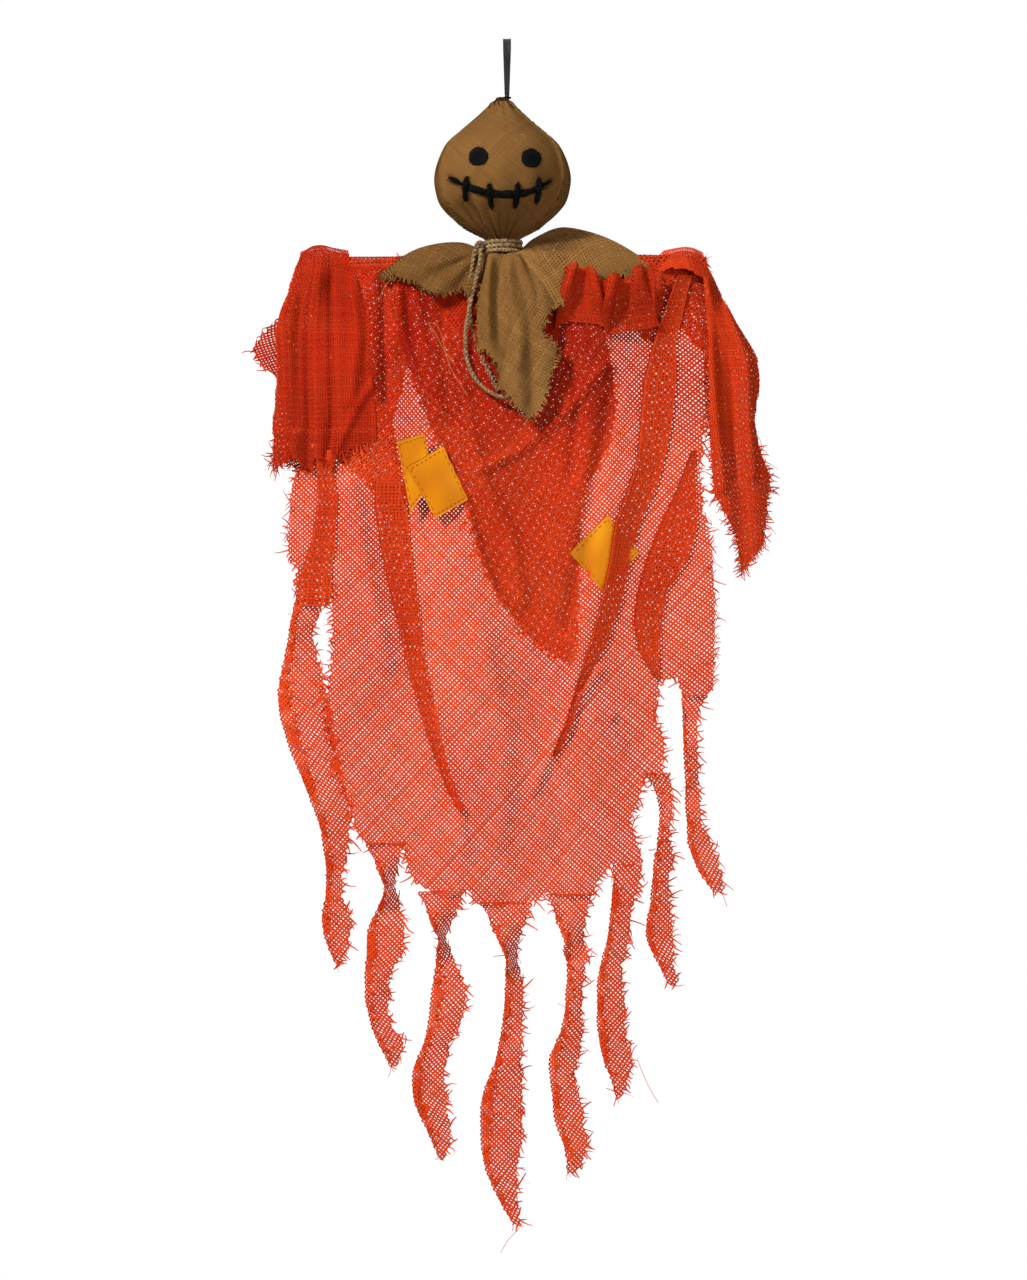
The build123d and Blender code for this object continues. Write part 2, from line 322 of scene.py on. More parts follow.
def weave(threads, place, size, keep, pitch, width, seed, fray=(4, 12), frayed=0.9, shade=0.0, wander=0.05,
          bias=0.0, mottle=0.07, whole=None, stained=None):
    """Plain weave on a surface: each crossing has one thread over and the next under.

    place turns cloth distances into points, and keep says which points are still cloth. Threads that reach
    the cloth's edge run on past it as fray, in millimetres, where frayed is the share that does. bias turns
    the threads on the cloth, in degrees, and mottle is how much they differ in tone. shade above nought
    paints all the threads lighter, as painted light, and below nought darker, as painted shade. whole says
    at which points a thread goes on into another piece of the same cloth, so that it does not fray. The
    last argument, a function of the points, gives each point a change of tone: painted shade where layers
    of cloth shade each other.
    """
    dice = np.random.default_rng(seed)
    pitch, width = pitch * MM, width * MM
    wide, tall = size[0] * MM, size[1] * MM
    lean_c, lean_s = math.cos(math.radians(bias)), math.sin(math.radians(bias))
    span_u, span_v = wide * lean_c + tall * abs(lean_s), wide * abs(lean_s) + tall * lean_c
    count_u, count_v = int(span_u / pitch) + 1, int(span_v / pitch) + 1
    columns = np.arange(count_u) * pitch - span_u / 2
    rows = np.arange(count_v) * pitch - span_v / 2
    across, down = np.meshgrid(columns, rows, indexing="ij")
    stray = dice.normal(size=(count_u, 1)) + ripple(down, across * 9, seed + 1, 0.05)
    across = across + wander * pitch * stray
    stray = dice.normal(size=(1, count_v)) + ripple(across, down * 9, seed + 2, 0.05)
    down = down + wander * pitch * stray
    u = wide / 2 + across * lean_c - down * lean_s
    v = tall / 2 + across * lean_s + down * lean_c
    # Threads may start a little outside the cloth's rectangle, so that a turned weave still fills its edge
    slack = 0.6 * pitch
    on_cloth = (u > -slack) & (u < wide + slack) & (v > -slack) & (v < tall + slack)
    u, v = np.clip(u, 0, wide), np.clip(v, 0, tall)
    points = place(u, v)
    held = keep(points, u, v) & on_cloth
    step_u, step_v = np.gradient(points, axis=0), np.gradient(points, axis=1)
    side_u, side_v = unit(step_u), unit(step_v)
    normals = unit(np.cross(side_u, side_v))
    space_u, space_v = np.linalg.norm(step_u, axis=-1), np.linalg.norm(step_v, axis=-1)
    over = np.where(np.add.outer(np.arange(count_u), np.arange(count_v)) % 2 == 0, 1.0, -1.0)
    lift = LIFT * width
    patch = mottle * ripple(points[..., 0], points[..., 2], seed + 3, 0.05)
    # Painted shade from the given function darkens the tone where layers of cloth shade each other, on top of
    # the random mottle
    if stained:
        patch = patch + stained(points)
    for warp in (True, False):
        sides, alongs, space = (side_u, side_v, space_u) if warp else (side_v, side_u, space_v)
        sign = 1.0 if warp else -1.0
        for index in range(count_u if warp else count_v):
            pick = (index, slice(None)) if warp else (slice(None), index)
            here, out, side = points[pick], normals[pick], sides[pick]
            spread, along, height = space[pick], alongs[pick], over[pick] * sign
            thickness = width * dice.uniform(*THREAD_RANGE)
            thread_tone = 0.5 + shade + mottle * dice.normal()
            for first, last in runs(held[pick]):
                span = slice(first, last)
                line = here[span] + out[span] * (height[span] * lift)[:, None]
                half = 0.5 * thickness * np.clip(spread[span] / pitch, *SQUEEZE)
                half = half * dice.uniform(*SLUB_RANGE, len(half))
                # Painted light and shade at the crossings: a thread is a little lighter where it goes over
                # and darker where it goes under
                tone = thread_tone + patch[pick][span] + 0.05 * height[span]
                strand = [line, out[span], side[span], half, tone]
                ends = [(first, first > 0, -1), (last - 1, last < held[pick].size, 1)]
                for at, torn, way in ends:
                    if not torn or fray[1] == 0 or dice.random() > frayed or (whole and whole(here[at])):
                        continue
                    length = dice.uniform(*fray) * MM * dice.uniform(0.4, 1.0)
                    tail = loose_end(here[at], along[at] * way, length, pitch * FRAY_STEP, dice)
                    more = len(tail)
                    thin = strand[3][0 if way < 0 else -1] * np.linspace(*FRAY_TAPER, more)
                    added = [tail, np.repeat(out[at][None], more, 0), np.repeat(side[at][None], more, 0),
                             thin, np.full(more, thread_tone + FRAY_TONE)]
                    if way < 0:
                        strand = [np.concatenate([new[::-1], old]) for new, old in zip(added, strand)]
                    else:
                        strand = [np.concatenate([old, new]) for new, old in zip(added, strand)]
                line, turned, flat, half, tone = strand
                threads.add(line, turned, flat, half, CROWN * width, tone)
    return held.sum() * pitch * pitch


# ---------------------------------------------------------------- cords

def smooth_line(points, resolution=10):
    """The points of one smooth NURBS line with these control points, as Blender gives them."""
    curve = bpy.data.curves.new("route", "CURVE")
    curve.dimensions = "3D"
    spline = curve.splines.new("NURBS")
    spline.points.add(len(points) - 1)
    for spot, place in zip(spline.points, mm(points)):
        spot.co = (*place, 1.0)
    spline.order_u = 3
    spline.use_endpoint_u = True
    spline.resolution_u = resolution
    holder = bpy.data.objects.new("route", curve)
    bpy.context.collection.objects.link(holder)
    mesh = bpy.data.meshes.new_from_object(holder)
    line = np.array([vertex.co for vertex in mesh.vertices])
    bpy.data.objects.remove(holder)
    bpy.data.meshes.remove(mesh)
    return line


def evenly(line, step):
    """The line with its points a step apart."""
    travelled = travelled_along(line)
    count = max(3, int(round(travelled[-1] / step)) + 1)
    marks = np.linspace(0, travelled[-1], count)
    return np.stack([np.interp(marks, travelled, line[:, k]) for k in range(3)], axis=1)


def frames_along(line, across=(0, 1, 0)):
    """Two directions square to the line at each point, with no sudden twist."""
    along = unit(np.gradient(line, axis=0))
    sides = [unit(np.cross(along[0], np.array(across, float)))]
    for heading in along[1:]:
        side = sides[-1] - heading * np.dot(sides[-1], heading)
        sides.append(unit(side))
    sides = np.array(sides)
    return sides, np.cross(along, sides)


def tube(line, radius, corners):
    """A round strand along a line, closed at its ends. radius is one value or one for each point."""
    side, up = frames_along(line)
    angles = np.linspace(0, 2 * math.pi, corners, endpoint=False)
    radius = np.broadcast_to(radius, len(line))[:, None, None]
    ring = np.cos(angles)[None, :, None] * side[:, None] + np.sin(angles)[None, :, None] * up[:, None]
    verts = (line[:, None] + radius * ring).reshape(-1, 3)
    faces = grid_faces(len(line), corners, closed=True).tolist()
    return verts, faces + end_caps(corners, len(verts))


def joined(parts):
    """Several (vertices, faces) lists as one."""
    verts, faces, count = [], [], 0
    for some, shape in parts:
        verts.append(some)
        faces += [[corner + count for corner in face] for face in shape]
        count += len(some)
    return np.concatenate(verts), faces


HAIR_POINTS, HAIR_CORNERS = 3, 3


def hairs(line, reach, number, seed, thin=0.00012, length=0.003):
    """Short stray fibres that stand out from a line, each a thin strand."""
    dice = np.random.default_rng(seed)
    parts = []
    for _ in range(number):
        start = line[dice.integers(len(line))]
        heading = unit(dice.normal(size=3))
        begin = start + heading * reach * 0.7
        end = begin + unit(heading + 0.8 * dice.normal(size=3)) * length * dice.uniform(0.4, 1.0)
        middle = (begin + end) / 2 + dice.normal(size=3) * length * 0.12
        parts.append(tube(np.array([begin, middle, end]), np.array([thin, thin, thin * 0.4]), HAIR_CORNERS))
    return parts


STRAND_CORNERS, FUZZ_TONE = 7, 0.6
STEPS_IN_LAY = 11         # points along a strand in one whole twist
STRAND_SHARE = {2: 0.56, 3: 0.5}     # a strand's radius as a share of the yarn's


def plied(line, radius, lay, seed, fuzz, strands=2, taper=None):
    """Twisted strands along a line: lay is the length of one whole twist. Gives vertices, faces and tones."""
    line = evenly(line, lay / STEPS_IN_LAY)
    side, up = frames_along(line)
    travelled = travelled_along(line)
    shrink = np.ones(len(line)) if taper is None else np.interp(travelled / travelled[-1], *taper)
    parts, tones = [], []
    dice = np.random.default_rng(seed)
    strand_r = radius * STRAND_SHARE[strands]
    for strand in range(strands):
        turn = 2 * math.pi * (travelled / lay + strand / strands)
        centre_r = (radius - strand_r) * shrink
        offset = np.cos(turn)[:, None] * side + np.sin(turn)[:, None] * up
        uneven = 1 + 0.12 * np.sin(travelled / lay * 2.3 + strand) + 0.05 * dice.normal(size=len(line))
        parts.append(tube(line + offset * centre_r[:, None], strand_r * shrink * uneven, STRAND_CORNERS))
        fleck = 0.5 + 0.25 * dice.normal(size=len(line))
        tones.append(np.repeat(fleck, STRAND_CORNERS))
    spare = hairs(line, radius, fuzz, seed + 5)
    tones.append(np.full(HAIR_POINTS * HAIR_CORNERS * len(spare), FUZZ_TONE))
    verts, faces = joined(parts + spare)
    return verts, faces, np.clip(np.concatenate(tones), 0, 1)


def make_bundle(name, node, strands, material, body, shade=1.0):
    """One piece from several plied strands."""
    verts, faces = joined([(verts, faces) for verts, faces, _ in strands])
    tones = np.concatenate([tones for _, _, tones in strands])
    piece = make_piece(name, verts, faces, material, body, shade * tones)
    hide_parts(node)


TWINE_R = 1.8 * MM
TWINE_LAY = 7.5 * MM
TWINE_HAIRS = 0.7         # stray fibres in each millimetre
# Control points X, Y, Z of the two hanging twines and of the ribbon loop
TWINE_LOOP = [(-20.9, -16.5, -169.9), (-21, -19, -179.5), (-24, -16.8, -192), (-28.2, -13, -207.5),
              (-31.6, -11, -224), (-33.6, -11, -241), (-32.2, -11, -257.5), (-26.8, -11, -272),
              (-14.6, -11, -284), (0.6, -11, -288.8), (14.2, -11, -284.4), (22.2, -11, -272),
              (23.6, -11, -257), (20.6, -11, -241), (16, -11, -225), (11.6, -11, -209),
              (7.8, -11, -195), (5, -10.8, -183.5), (3.6, -10, -175)]
TWINE_END = [(-25.4, -13.9, -170.1), (-27.6, -13.6, -180.5), (-29.2, -10.6, -194.5), (-30.2, -7, -210),
             (-29.2, -5.4, -226.5), (-26.2, -5.4, -241.5), (-20.6, -5.4, -255.5), (-13.4, -5.4, -268.5),
             (-7.6, -5.4, -282)]
HANGER = [(0, -1.2, -44.4), (0, -3.6, -27), (0, -8.4, -9), (0, -4.1, -0.4), (0, 4.1, -0.4), (0, 8.4, -9),
          (0, 3.6, -27), (0, 1.2, -44.4)]


def length_of(line):
    """How long a line of points is."""
    return float(np.linalg.norm(np.diff(line, axis=0), axis=1).sum())


def make_twine(name, route, seed):
    """A hanging length of the neck's twine."""
    line = smooth_line(route)
    fuzz = int(length_of(line) / MM * TWINE_HAIRS)
    verts, faces, tones = plied(line, TWINE_R, TWINE_LAY, seed=seed, fuzz=fuzz)
    piece = make_piece(name + "_strands", verts, faces, JUTE, "torso", tones)
    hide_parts(name)


RIBBON_R = 3.2 * MM       # half its width
# The ribbon's section: places from edge to edge, as shares of RIBBON_R, and how thick it is at each
RIBBON_PLACES = [-1, -0.86, -0.5, 0, 0.5, 0.86, 1]
RIBBON_THICK = [0.42, 0.5, 0.3, 0.27, 0.3, 0.5, 0.42]


def make_hanging_ribbon():
    """A flat woven ribbon with thick edges, folded once over at the top."""
    line = evenly(smooth_line(HANGER, 24), 0.7 * MM)
    _, out = frames_along(line, across=(1, 0, 0))
    out = unit(out * np.array([0, 1, 1]))
    along = unit(np.gradient(line, axis=0))
    face = np.cross(along, np.array([1.0, 0, 0]))
    half = np.interp(line[:, 2], [-44 * MM, -6 * MM], [1.95 * MM, RIBBON_R])
    shares, thick = np.array(RIBBON_PLACES), mm(RIBBON_THICK)
    rib = 1 + 0.16 * np.where(np.arange(len(line)) % 2, 1, -1)
    top = line[:, None] + half[:, None, None] * shares[None, :, None] * np.array([1.0, 0, 0])
    front = top + face[:, None] * (thick[None, :] * rib[:, None])[..., None]
    back = top - face[:, None] * (thick[None, :] * rib[:, None])[..., None]
    ring = np.concatenate([front, back[:, ::-1]], axis=1)
    corners = ring.shape[1]
    verts = ring.reshape(-1, 3)
    faces = grid_faces(len(line), corners, closed=True).tolist()
    faces += end_caps(corners, len(verts))
    dice = np.random.default_rng(3)
    tones = np.repeat(0.45 + 0.2 * dice.normal(size=len(line)), corners)
    piece = make_piece("hanging_ribbon", verts, faces, RIBBON, "loop", np.clip(tones, 0, 1))
    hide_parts("hanging_loop")


# ---------------------------------------------------------------- camera, light and floor

def make_camera():
    """The long side of the picture, its height, takes in view_height at the figure's middle."""
    view_height, view_middle = 1.024, Vector((5.2 * MM, 0, -480.8 * MM))
    data = bpy.data.cameras.new("camera")
    data.lens, data.sensor_width = 85, 36
    camera = bpy.data.objects.new("camera", data)
    camera.location = view_middle - Vector((0, view_height * data.lens / data.sensor_width, 0))
    camera.rotation_euler = (math.radians(90), 0, 0)
    bpy.context.collection.objects.link(camera)
    bpy.context.scene.camera = camera


def make_light(name, place, size, power, target=(0, 0, -0.4)):
    """A round soft lamp that looks at target."""
    lamp = bpy.data.lights.new(name, "AREA")
    lamp.shape, lamp.size, lamp.energy = "DISK", size, power
    holder = bpy.data.objects.new(name, lamp)
    holder.location = place
    holder.rotation_euler = (Vector(target) - Vector(place)).to_track_quat("-Z", "Y").to_euler()
    bpy.context.collection.objects.link(holder)


ROOM_LIGHT = 0.18
FLOOR_R, FLOOR_Z = 0.75, -1.2


def make_surroundings():
    """A pale round floor well below the tails, a white room and soft lamps."""
    scene = bpy.context.scene
    scene.view_settings.view_transform = "Standard"
    world = bpy.data.worlds.new("room")
    scene.world = world
    world.use_nodes = True
    nodes, links = world.node_tree.nodes, world.node_tree.links
    room, backdrop = nodes["Background"], nodes.new("ShaderNodeBackground")
    for white, strength in ((room, ROOM_LIGHT), (backdrop, 1.0)):
        white.inputs["Strength"].default_value = strength
        white.inputs["Color"].default_value = (1, 1, 1, 1)
    seen = nodes.new("ShaderNodeLightPath")
    choice = nodes.new("ShaderNodeMixShader")
    links.new(seen.outputs["Is Camera Ray"], choice.inputs["Fac"])
    links.new(room.outputs[0], choice.inputs[1])
    links.new(backdrop.outputs[0], choice.inputs[2])
    links.new(choice.outputs[0], nodes["World Output"].inputs["Surface"])
    rim = [(FLOOR_R * math.cos(turn), FLOOR_R * math.sin(turn), FLOOR_Z)
           for turn in np.linspace(0, 2 * math.pi, 64, endpoint=False)]
    mesh = bpy.data.meshes.new("floor")
    mesh.from_pydata(rim, [], [list(range(len(rim)))])
    paint = bpy.data.materials.new("floor")
    paint.use_nodes = True
    shader = paint.node_tree.nodes["Principled BSDF"]
    shader.inputs["Base Color"].default_value = (0.86, 0.86, 0.85, 1)
    shader.inputs["Roughness"].default_value = 0.8
    mesh.materials.append(paint)
    floor = bpy.data.objects.new("floor", mesh)
    bpy.context.collection.objects.link(floor)
    make_light("key", (-1.3, -1.5, 1.0), 0.3, 56)
    make_light("fill", (1.0, -2.2, -0.3), 1.0, 14)
    make_light("top", (0.1, 0.2, 1.4), 0.9, 4)
    make_light("rear", (0.4, 2.0, 0.4), 1.4, 10)


# ---------------------------------------------------------------- head

SACK = [(4.2, -46.6), (7.6, -51), (21, -64), (34, -75), (46.5, -87), (53.6, -107), (52, -123),
        (46.5, -135), (31, -150), (20, -156.5), (13.8, -160), (12.6, -163), (12.6, -167.5), (12.6, -172)]


def profile_line():
    """The sack's profile as many points: radius, height and distance along it from the tip."""
    corners = with_ends(mm(SACK))
    places = []
    for step in range(len(SACK) - 1):
        for share in np.linspace(0, 1, 24, endpoint=False):
            places.append(sum(weight * corners[step + k] for k, weight in enumerate(catmull(share))))
    places.append(corners[-2])
    line = np.array(places)
    return line[:, 0], line[:, 1], travelled_along(line)


SACK_RADII, SACK_HEIGHTS, SACK_DOWN = profile_line()
GATHERS = 26               # folds that run into the neck tie
GATHERED = 0.62            # how wide the cloth stays at the neck, as a share of its greatest width
SEAM_WIDTH = 0.045         # half the width of a side seam's ridge, as an angle
HEAD_PITCH, HEAD_THREAD = 1.6, 1.13
TIP_BARE = 5.5 * MM        # the stitches cover the sack's first few millimetres


def fade(value, start, end):
    """0 before start and 1 after end, with a smooth change between."""
    share = np.clip((value - start) / (end - start), 0, 1)
    return share * share * (3 - 2 * share)


def sack_point(angle, down, proud=0.0):
    """A point of the sack. The angle is from the middle of the face, and down is measured from the tip."""
    radius = np.interp(down, SACK_DOWN, SACK_RADII)
    height = np.interp(down, SACK_DOWN, SACK_HEIGHTS)
    # Gathers at the neck, slow folds that run up from them, small folds at the tip, slack and side seams
    low = fade(-height, 133 * MM, 150 * MM) * (1 - 0.5 * fade(-height, 156 * MM, 163 * MM))
    pinch = 2.2 * MM * low * (np.cos(GATHERS * angle + 1.5 * np.sin(3 * angle)) - 0.7)
    reach = 0.9 * MM * fade(-height, 96 * MM, 140 * MM) * np.cos(11 * angle + 0.7 + np.sin(2 * angle))
    tip = 0.7 * MM * (1 - fade(-height, 52 * MM, 78 * MM)) * np.cos(13 * angle + np.sin(5 * angle))
    crease = 0.7 * MM * fade(-height, 60 * MM, 90 * MM) * np.sin(2.3 * angle + height / MM * 0.07)
    seam = 0
    for side in (-1, 1):
        gap = angle - side * FACE_SPAN
        valley = gap - side * 0.10
        ridge = 2.3 * np.exp(-(gap / SEAM_WIDTH) ** 2) - 2.6 * np.exp(-(valley / SEAM_WIDTH) ** 2)
        seam = seam + ridge * MM * fade(radius, 9 * MM, 30 * MM)
    out = radius + proud + pinch + reach + tip + crease + seam
    return np.stack([AXIS_X + out * np.sin(angle), -out * np.cos(angle), height], axis=-1)


def down_at(z):
    """How far along the sack from its tip the height z is."""
    return np.interp(-z, -SACK_HEIGHTS, SACK_DOWN)


def face_point(x, z, proud):
    """The point of the face at X, Z, in millimetres, standing proud of the cloth."""
    down = down_at(np.asarray(z) * MM)
    radius = np.interp(down, SACK_DOWN, SACK_RADII)
    angle = np.arcsin(np.clip((np.asarray(x) * MM - AXIS_X) / radius, -1, 1))
    return sack_point(angle, down, proud * MM)


def make_head():
    """The filled sack: its stuffed lining, and the woven burlap of its face and back over that."""
    around, rows = 220, 90
    angles = np.linspace(-math.pi, math.pi, around, endpoint=False)
    downs = np.linspace(0.5 * MM, SACK_DOWN[-1], rows)
    turn, fall = np.meshgrid(angles, downs)
    verts = sack_point(turn, fall, -0.75 * MM).reshape(-1, 3)
    faces = grid_faces(rows, around, closed=True).tolist()
    faces += [list(range(around)), [len(verts) - 1 - k for k in range(around)]]
    dice = np.random.default_rng(11)
    tones = dice.uniform(0.3, 0.7, len(verts))
    filling = make_piece("sack_filling", verts, faces, LINING, "head", tones)
    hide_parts("head_core")
    panels = [("face_panel", 0.0, FACE_SPAN, 21), ("back_panel", math.pi, math.pi - FACE_SPAN, 22)]
    for node, middle, span, seed in panels:
        half_cloth = max(SACK_RADII) * span

        def width_at(down):
            radius = np.interp(down, SACK_DOWN, SACK_RADII)
            height = np.interp(down, SACK_DOWN, SACK_HEIGHTS)
            gathered = GATHERED * half_cloth * fade(-height, 120 * MM, 160 * MM)
            return np.maximum(radius * span, gathered)

        def place(u, v):
            share = (u - half_cloth) / width_at(v)
            return sack_point(middle + np.clip(share, -1, 1) * span, v, 0.35 * MM)

        def keep(points, u, v):
            return (np.abs(u - half_cloth) <= width_at(v)) & (v > TIP_BARE) & (v < SACK_DOWN[-1])

        threads = Threads()
        size = (2 * half_cloth / MM, SACK_DOWN[-1] / MM)
        area = weave(threads, place, size, keep, HEAD_PITCH, HEAD_THREAD, seed, fray=(0, 0), wander=0.1,
                     bias=40, mottle=0.05)
        panel = threads.piece(node + "_cloth", BURLAP, "head", "burlap")
        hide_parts(node)


EYE_R, EYE_THICK = 7.6, 1.3
EYES = [("eye_left", -22.4, -101.6), ("eye_right", 18.9, -102.8)]
SMILE = [(-44.5, -116), (-33, -123.5), (-19, -129.5), (-4.5, -132), (11, -131), (23, -127), (34, -119.2)]
STITCHES = [(-30.5, -126.5, 0.2), (-12.6, -132.5, -0.9), (7.6, -131.5, 0.9), (24, -127.3, 0.9)]


def make_eye(name, x, z, seed):
    """A cut felt disc with an uneven edge and fuzz, glued to the face."""
    rings, around = 9, 56
    dice = np.random.default_rng(seed)
    turns = np.linspace(0, 2 * math.pi, around, endpoint=False)
    rim = EYE_R * (1 + 0.02 * np.sin(3 * turns + seed) + 0.02 * dice.normal(size=around))
    shares = np.concatenate([np.linspace(0.02, 1, rings), [1.0, 0.5]])
    heights = np.concatenate([EYE_THICK * (1 - np.linspace(0, 1, rings) ** 6 * 0.5), [0.1, 0.1]])
    verts = []
    for share, height in zip(shares, heights):
        bumps = height + 0.16 * dice.normal(size=around) * (height > 0.2)
        verts.append(face_point(x + rim * share * np.cos(turns), z + rim * share * np.sin(turns),
                                0.3 + bumps))
    verts = np.concatenate(verts)
    faces = grid_faces(len(shares), around, closed=True).tolist()
    faces += end_caps(around, len(verts))
    spots = face_point(x + rim * np.cos(turns), z + rim * np.sin(turns), 0.8)
    hairy = np.concatenate([spots, spots, verts[around * 2:around * 5]])
    fuzz = hairs(hairy, 0.2 * MM, 240, seed, 0.0001, 0.0022)
    solid, shape = joined([(verts, faces)] + fuzz)
    tones = np.concatenate([dice.uniform(0.1, 0.8, len(verts)), np.full(len(solid) - len(verts), 0.7)])
    eye = make_piece(name + "_felt", solid, shape, FELT, "head", tones)
    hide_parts(name)


SMILE_R = 3.5 * MM
# How thick the smile's yarn is along its length, as shares of SMILE_R
SMILE_THICKNESS = [0.3, 0.62, 0.45, 0.7, 0.95, 0.78, 1.05, 0.9, 1.08, 0.86, 1.0, 0.74, 0.6, 0.42, 0.28]
STITCH_R, STITCH_REACH = 2.4 * MM, 8.8
STITCH_TAPER = ([0, 0.15, 0.5, 0.85, 1], [0.55, 0.9, 1.05, 0.95, 0.6])


def make_mouth():
    """A fuzzy yarn smile, thick in its middle, and four yarn stitches across it."""
    route = face_point(np.array([p[0] for p in SMILE]), np.array([p[1] for p in SMILE]), 1.3)
    line = smooth_line(route / MM)
    taper = (np.linspace(0, 1, len(SMILE_THICKNESS)), SMILE_THICKNESS)
    smile = plied(line, SMILE_R, 2 * SMILE_R, seed=5, fuzz=1200, strands=3, taper=taper)
    make_bundle("mouth_yarn", "mouth_line", [smile], YARN, "head")
    stitches = []
    for number, (x, z, lean) in enumerate(STITCHES):
        steps = np.linspace(-1, 1, 9)
        line = face_point(x + lean * steps, z + STITCH_REACH * steps, 3.1 - 2.3 * steps ** 4)
        stitches.append(plied(line, STITCH_R, 5 * MM, seed=40 + number, fuzz=220, taper=STITCH_TAPER))
    make_bundle("mouth_stitch_yarn", "mouth_stitches", stitches, YARN, "head")


TIP_STITCHES, TIP_THREAD = 11, 0.32 * MM


def make_tip():
    """Dark thread wound and stitched round the sack's tip."""
    parts = []
    dice = np.random.default_rng(8)
    for number in range(TIP_STITCHES):
        angle = 2 * math.pi * number / TIP_STITCHES + 0.2 * dice.normal()
        top, foot = dice.uniform(49, 51.5), dice.uniform(55, 60)
        downs = np.linspace(down_at(-top * MM), down_at(-foot * MM), 5)
        line = sack_point(angle + np.linspace(0, 0.25, 5), downs, MM * np.array([0.2, 1.0, 1.2, 1.0, 0.1]))
        parts.append(tube(line, TIP_THREAD, corners=6))
    verts, faces = joined(parts)
    stitches = make_piece("tip_thread", verts, faces, YARN, "head")
    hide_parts("tip_stitches")


TIE_R, TIE_HEIGHTS, TIE_LEAN = 15 * MM, (-163.4, -167.1, -170.8), 0.5 * MM
KNOT, KNOT_R, KNOT_STRAND = (-22, -12.6, -166.6), 2.6, 1.55 * MM
# The two directions that each hoop of the knot lies in
KNOT_HOOPS = [((1, 0, 0.3), (0, 0.5, 1)), ((0.3, 1, 0), (0.6, 0, 1)), ((1, 0.4, 0), (0, 0.7, -0.8))]


def make_tie():
    """Three turns of twine round the neck, and the knot they end in."""
    turn = np.linspace(0, 2 * math.pi, 80)
    rings = []
    for number, height in enumerate(TIE_HEIGHTS):
        ring = np.stack([AXIS_X + TIE_R * np.sin(turn), -TIE_R * np.cos(turn),
                         height * MM + TIE_LEAN * np.sin(turn + number)], axis=1)
        rings.append(plied(ring, TWINE_R, TWINE_LAY, seed=50 + number, fuzz=60))
    make_bundle("neck_tie_twine", "neck_tie", rings, JUTE, "torso")
    turn = np.linspace(0, 2.2 * math.pi, 30)
    hoops = []
    for number, directions in enumerate(KNOT_HOOPS):
        first, second = (unit(np.array(direction, float)) for direction in directions)
        line = mm(KNOT + KNOT_R * (np.cos(turn)[:, None] * first + np.sin(turn)[:, None] * second))
        hoops.append(plied(line, KNOT_STRAND, 6 * MM, seed=60 + number, fuzz=30))
    make_bundle("tie_knot_twine", "tie_knot", hoops, JUTE, "torso", shade=0.6)


# ---------------------------------------------------------------- burlap collar

BURLAP_PITCH, BURLAP_THREAD = 2.1, 1.36


def cloth_piece(name, node, drape, outline, pitch, width, seed, body, material, slot, shape, extras=(),
                **weaving):
    """One sheet of woven cloth that stands for a CAD node, cut to an outline of X, Z corners."""

    def place(u, v):
        return shape(drape(u, v))

    def keep(points, u, v):
        return inside(outline, points[..., 0], points[..., 2])

    threads = Threads()
    area = weave(threads, place, drape.size, keep, pitch, width, seed, **weaving)
    area += sum(extra(threads) for extra in extras)
    for line in LOOSE_THREADS.get(node, ()):
        loose_thread(threads, line)
    piece = threads.piece(name, material, body, slot)
    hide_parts(node)
    declare_sheet(piece, drape.size, area)


def doubled(drape, outline, shape, gap, **weaving):
    """A second layer of the same cloth behind the first, for a piece that is folded double."""

    def place(u, v):
        points = drape(u, v)
        inward = np.stack([0 * u, BAR_Y - points[..., 1], BAR_Z - points[..., 2]], axis=-1)
        inward[..., 2] = np.minimum(inward[..., 2], 0)
        return shape(points) + gap * MM * unit(inward)

    def keep(points, u, v):
        return inside(outline, points[..., 0], points[..., 2])

    def add(threads):
        return weave(threads, place, drape.size, keep, **weaving)

    return add


def declare_sheet(piece, size, area):
    """The flat size of a sheet, wider where pleats, a ruffle or a second layer take more cloth."""
    wide, tall = size[0] * MM, size[1] * MM
    wide = max(wide, area / tall)
    print("sheet", piece.name, "flat mm", round(wide / MM), round(tall / MM), "area cm2", round(area * 1e4))


STRAY_WIDTH, STRAY_TONE = 0.45 * MM, 0.9


def loose_thread(threads, route):
    """A single stray thread that lies on the cloth, through a few points."""
    line = evenly(smooth_line(route), 1.5 * MM)
    number = len(line)
    along = unit(np.gradient(line, axis=0))
    out = np.repeat(np.array([[0, -1.0, 0]]), number, 0)
    halves = np.full(number, STRAY_WIDTH / 2)
    threads.add(line, out, unit(np.cross(along, out)), halves, 0.2 * MM, STRAY_TONE)


# Stray threads: control points X, Y, Z
LOOSE_THREADS = {
    "collar_left": [[(-90, -6, -189), (-93, -9, -194), (-99, -12, -201), (-102, -14, -212)],
                    [(-63, -16, -229), (-58, -19, -228), (-52, -20, -236), (-48, -20, -258), (-40, -20, -274),
                     (-31, -20, -287)],
                    [(-62, -17, -230), (-55, -20, -240), (-50, -19, -252), (-41, -20, -262)]],
    "robe_front": [[(-86, -14, -354), (-84, -16, -370), (-78, -16, -386), (-77, -16, -394)],
                   [(-24, -12, -413), (-23, -13, -425), (-30, -13, -437)],
                   [(30, -12, -385), (34, -14, -400), (36, -14, -425)]],
    "strip_4": [[(14, 1, -944), (10, 0, -952), (3, 0, -958), (-2, 0, -965), (-5, 0, -971)]],
    "strip_6": [[(104, 1, -816), (109, 0, -828), (114, -1, -840), (121, 0, -851)]],
    "strip_8": [[(166, 1, -664), (170, 0, -676), (173, -1, -686), (176, 0, -694)]]}

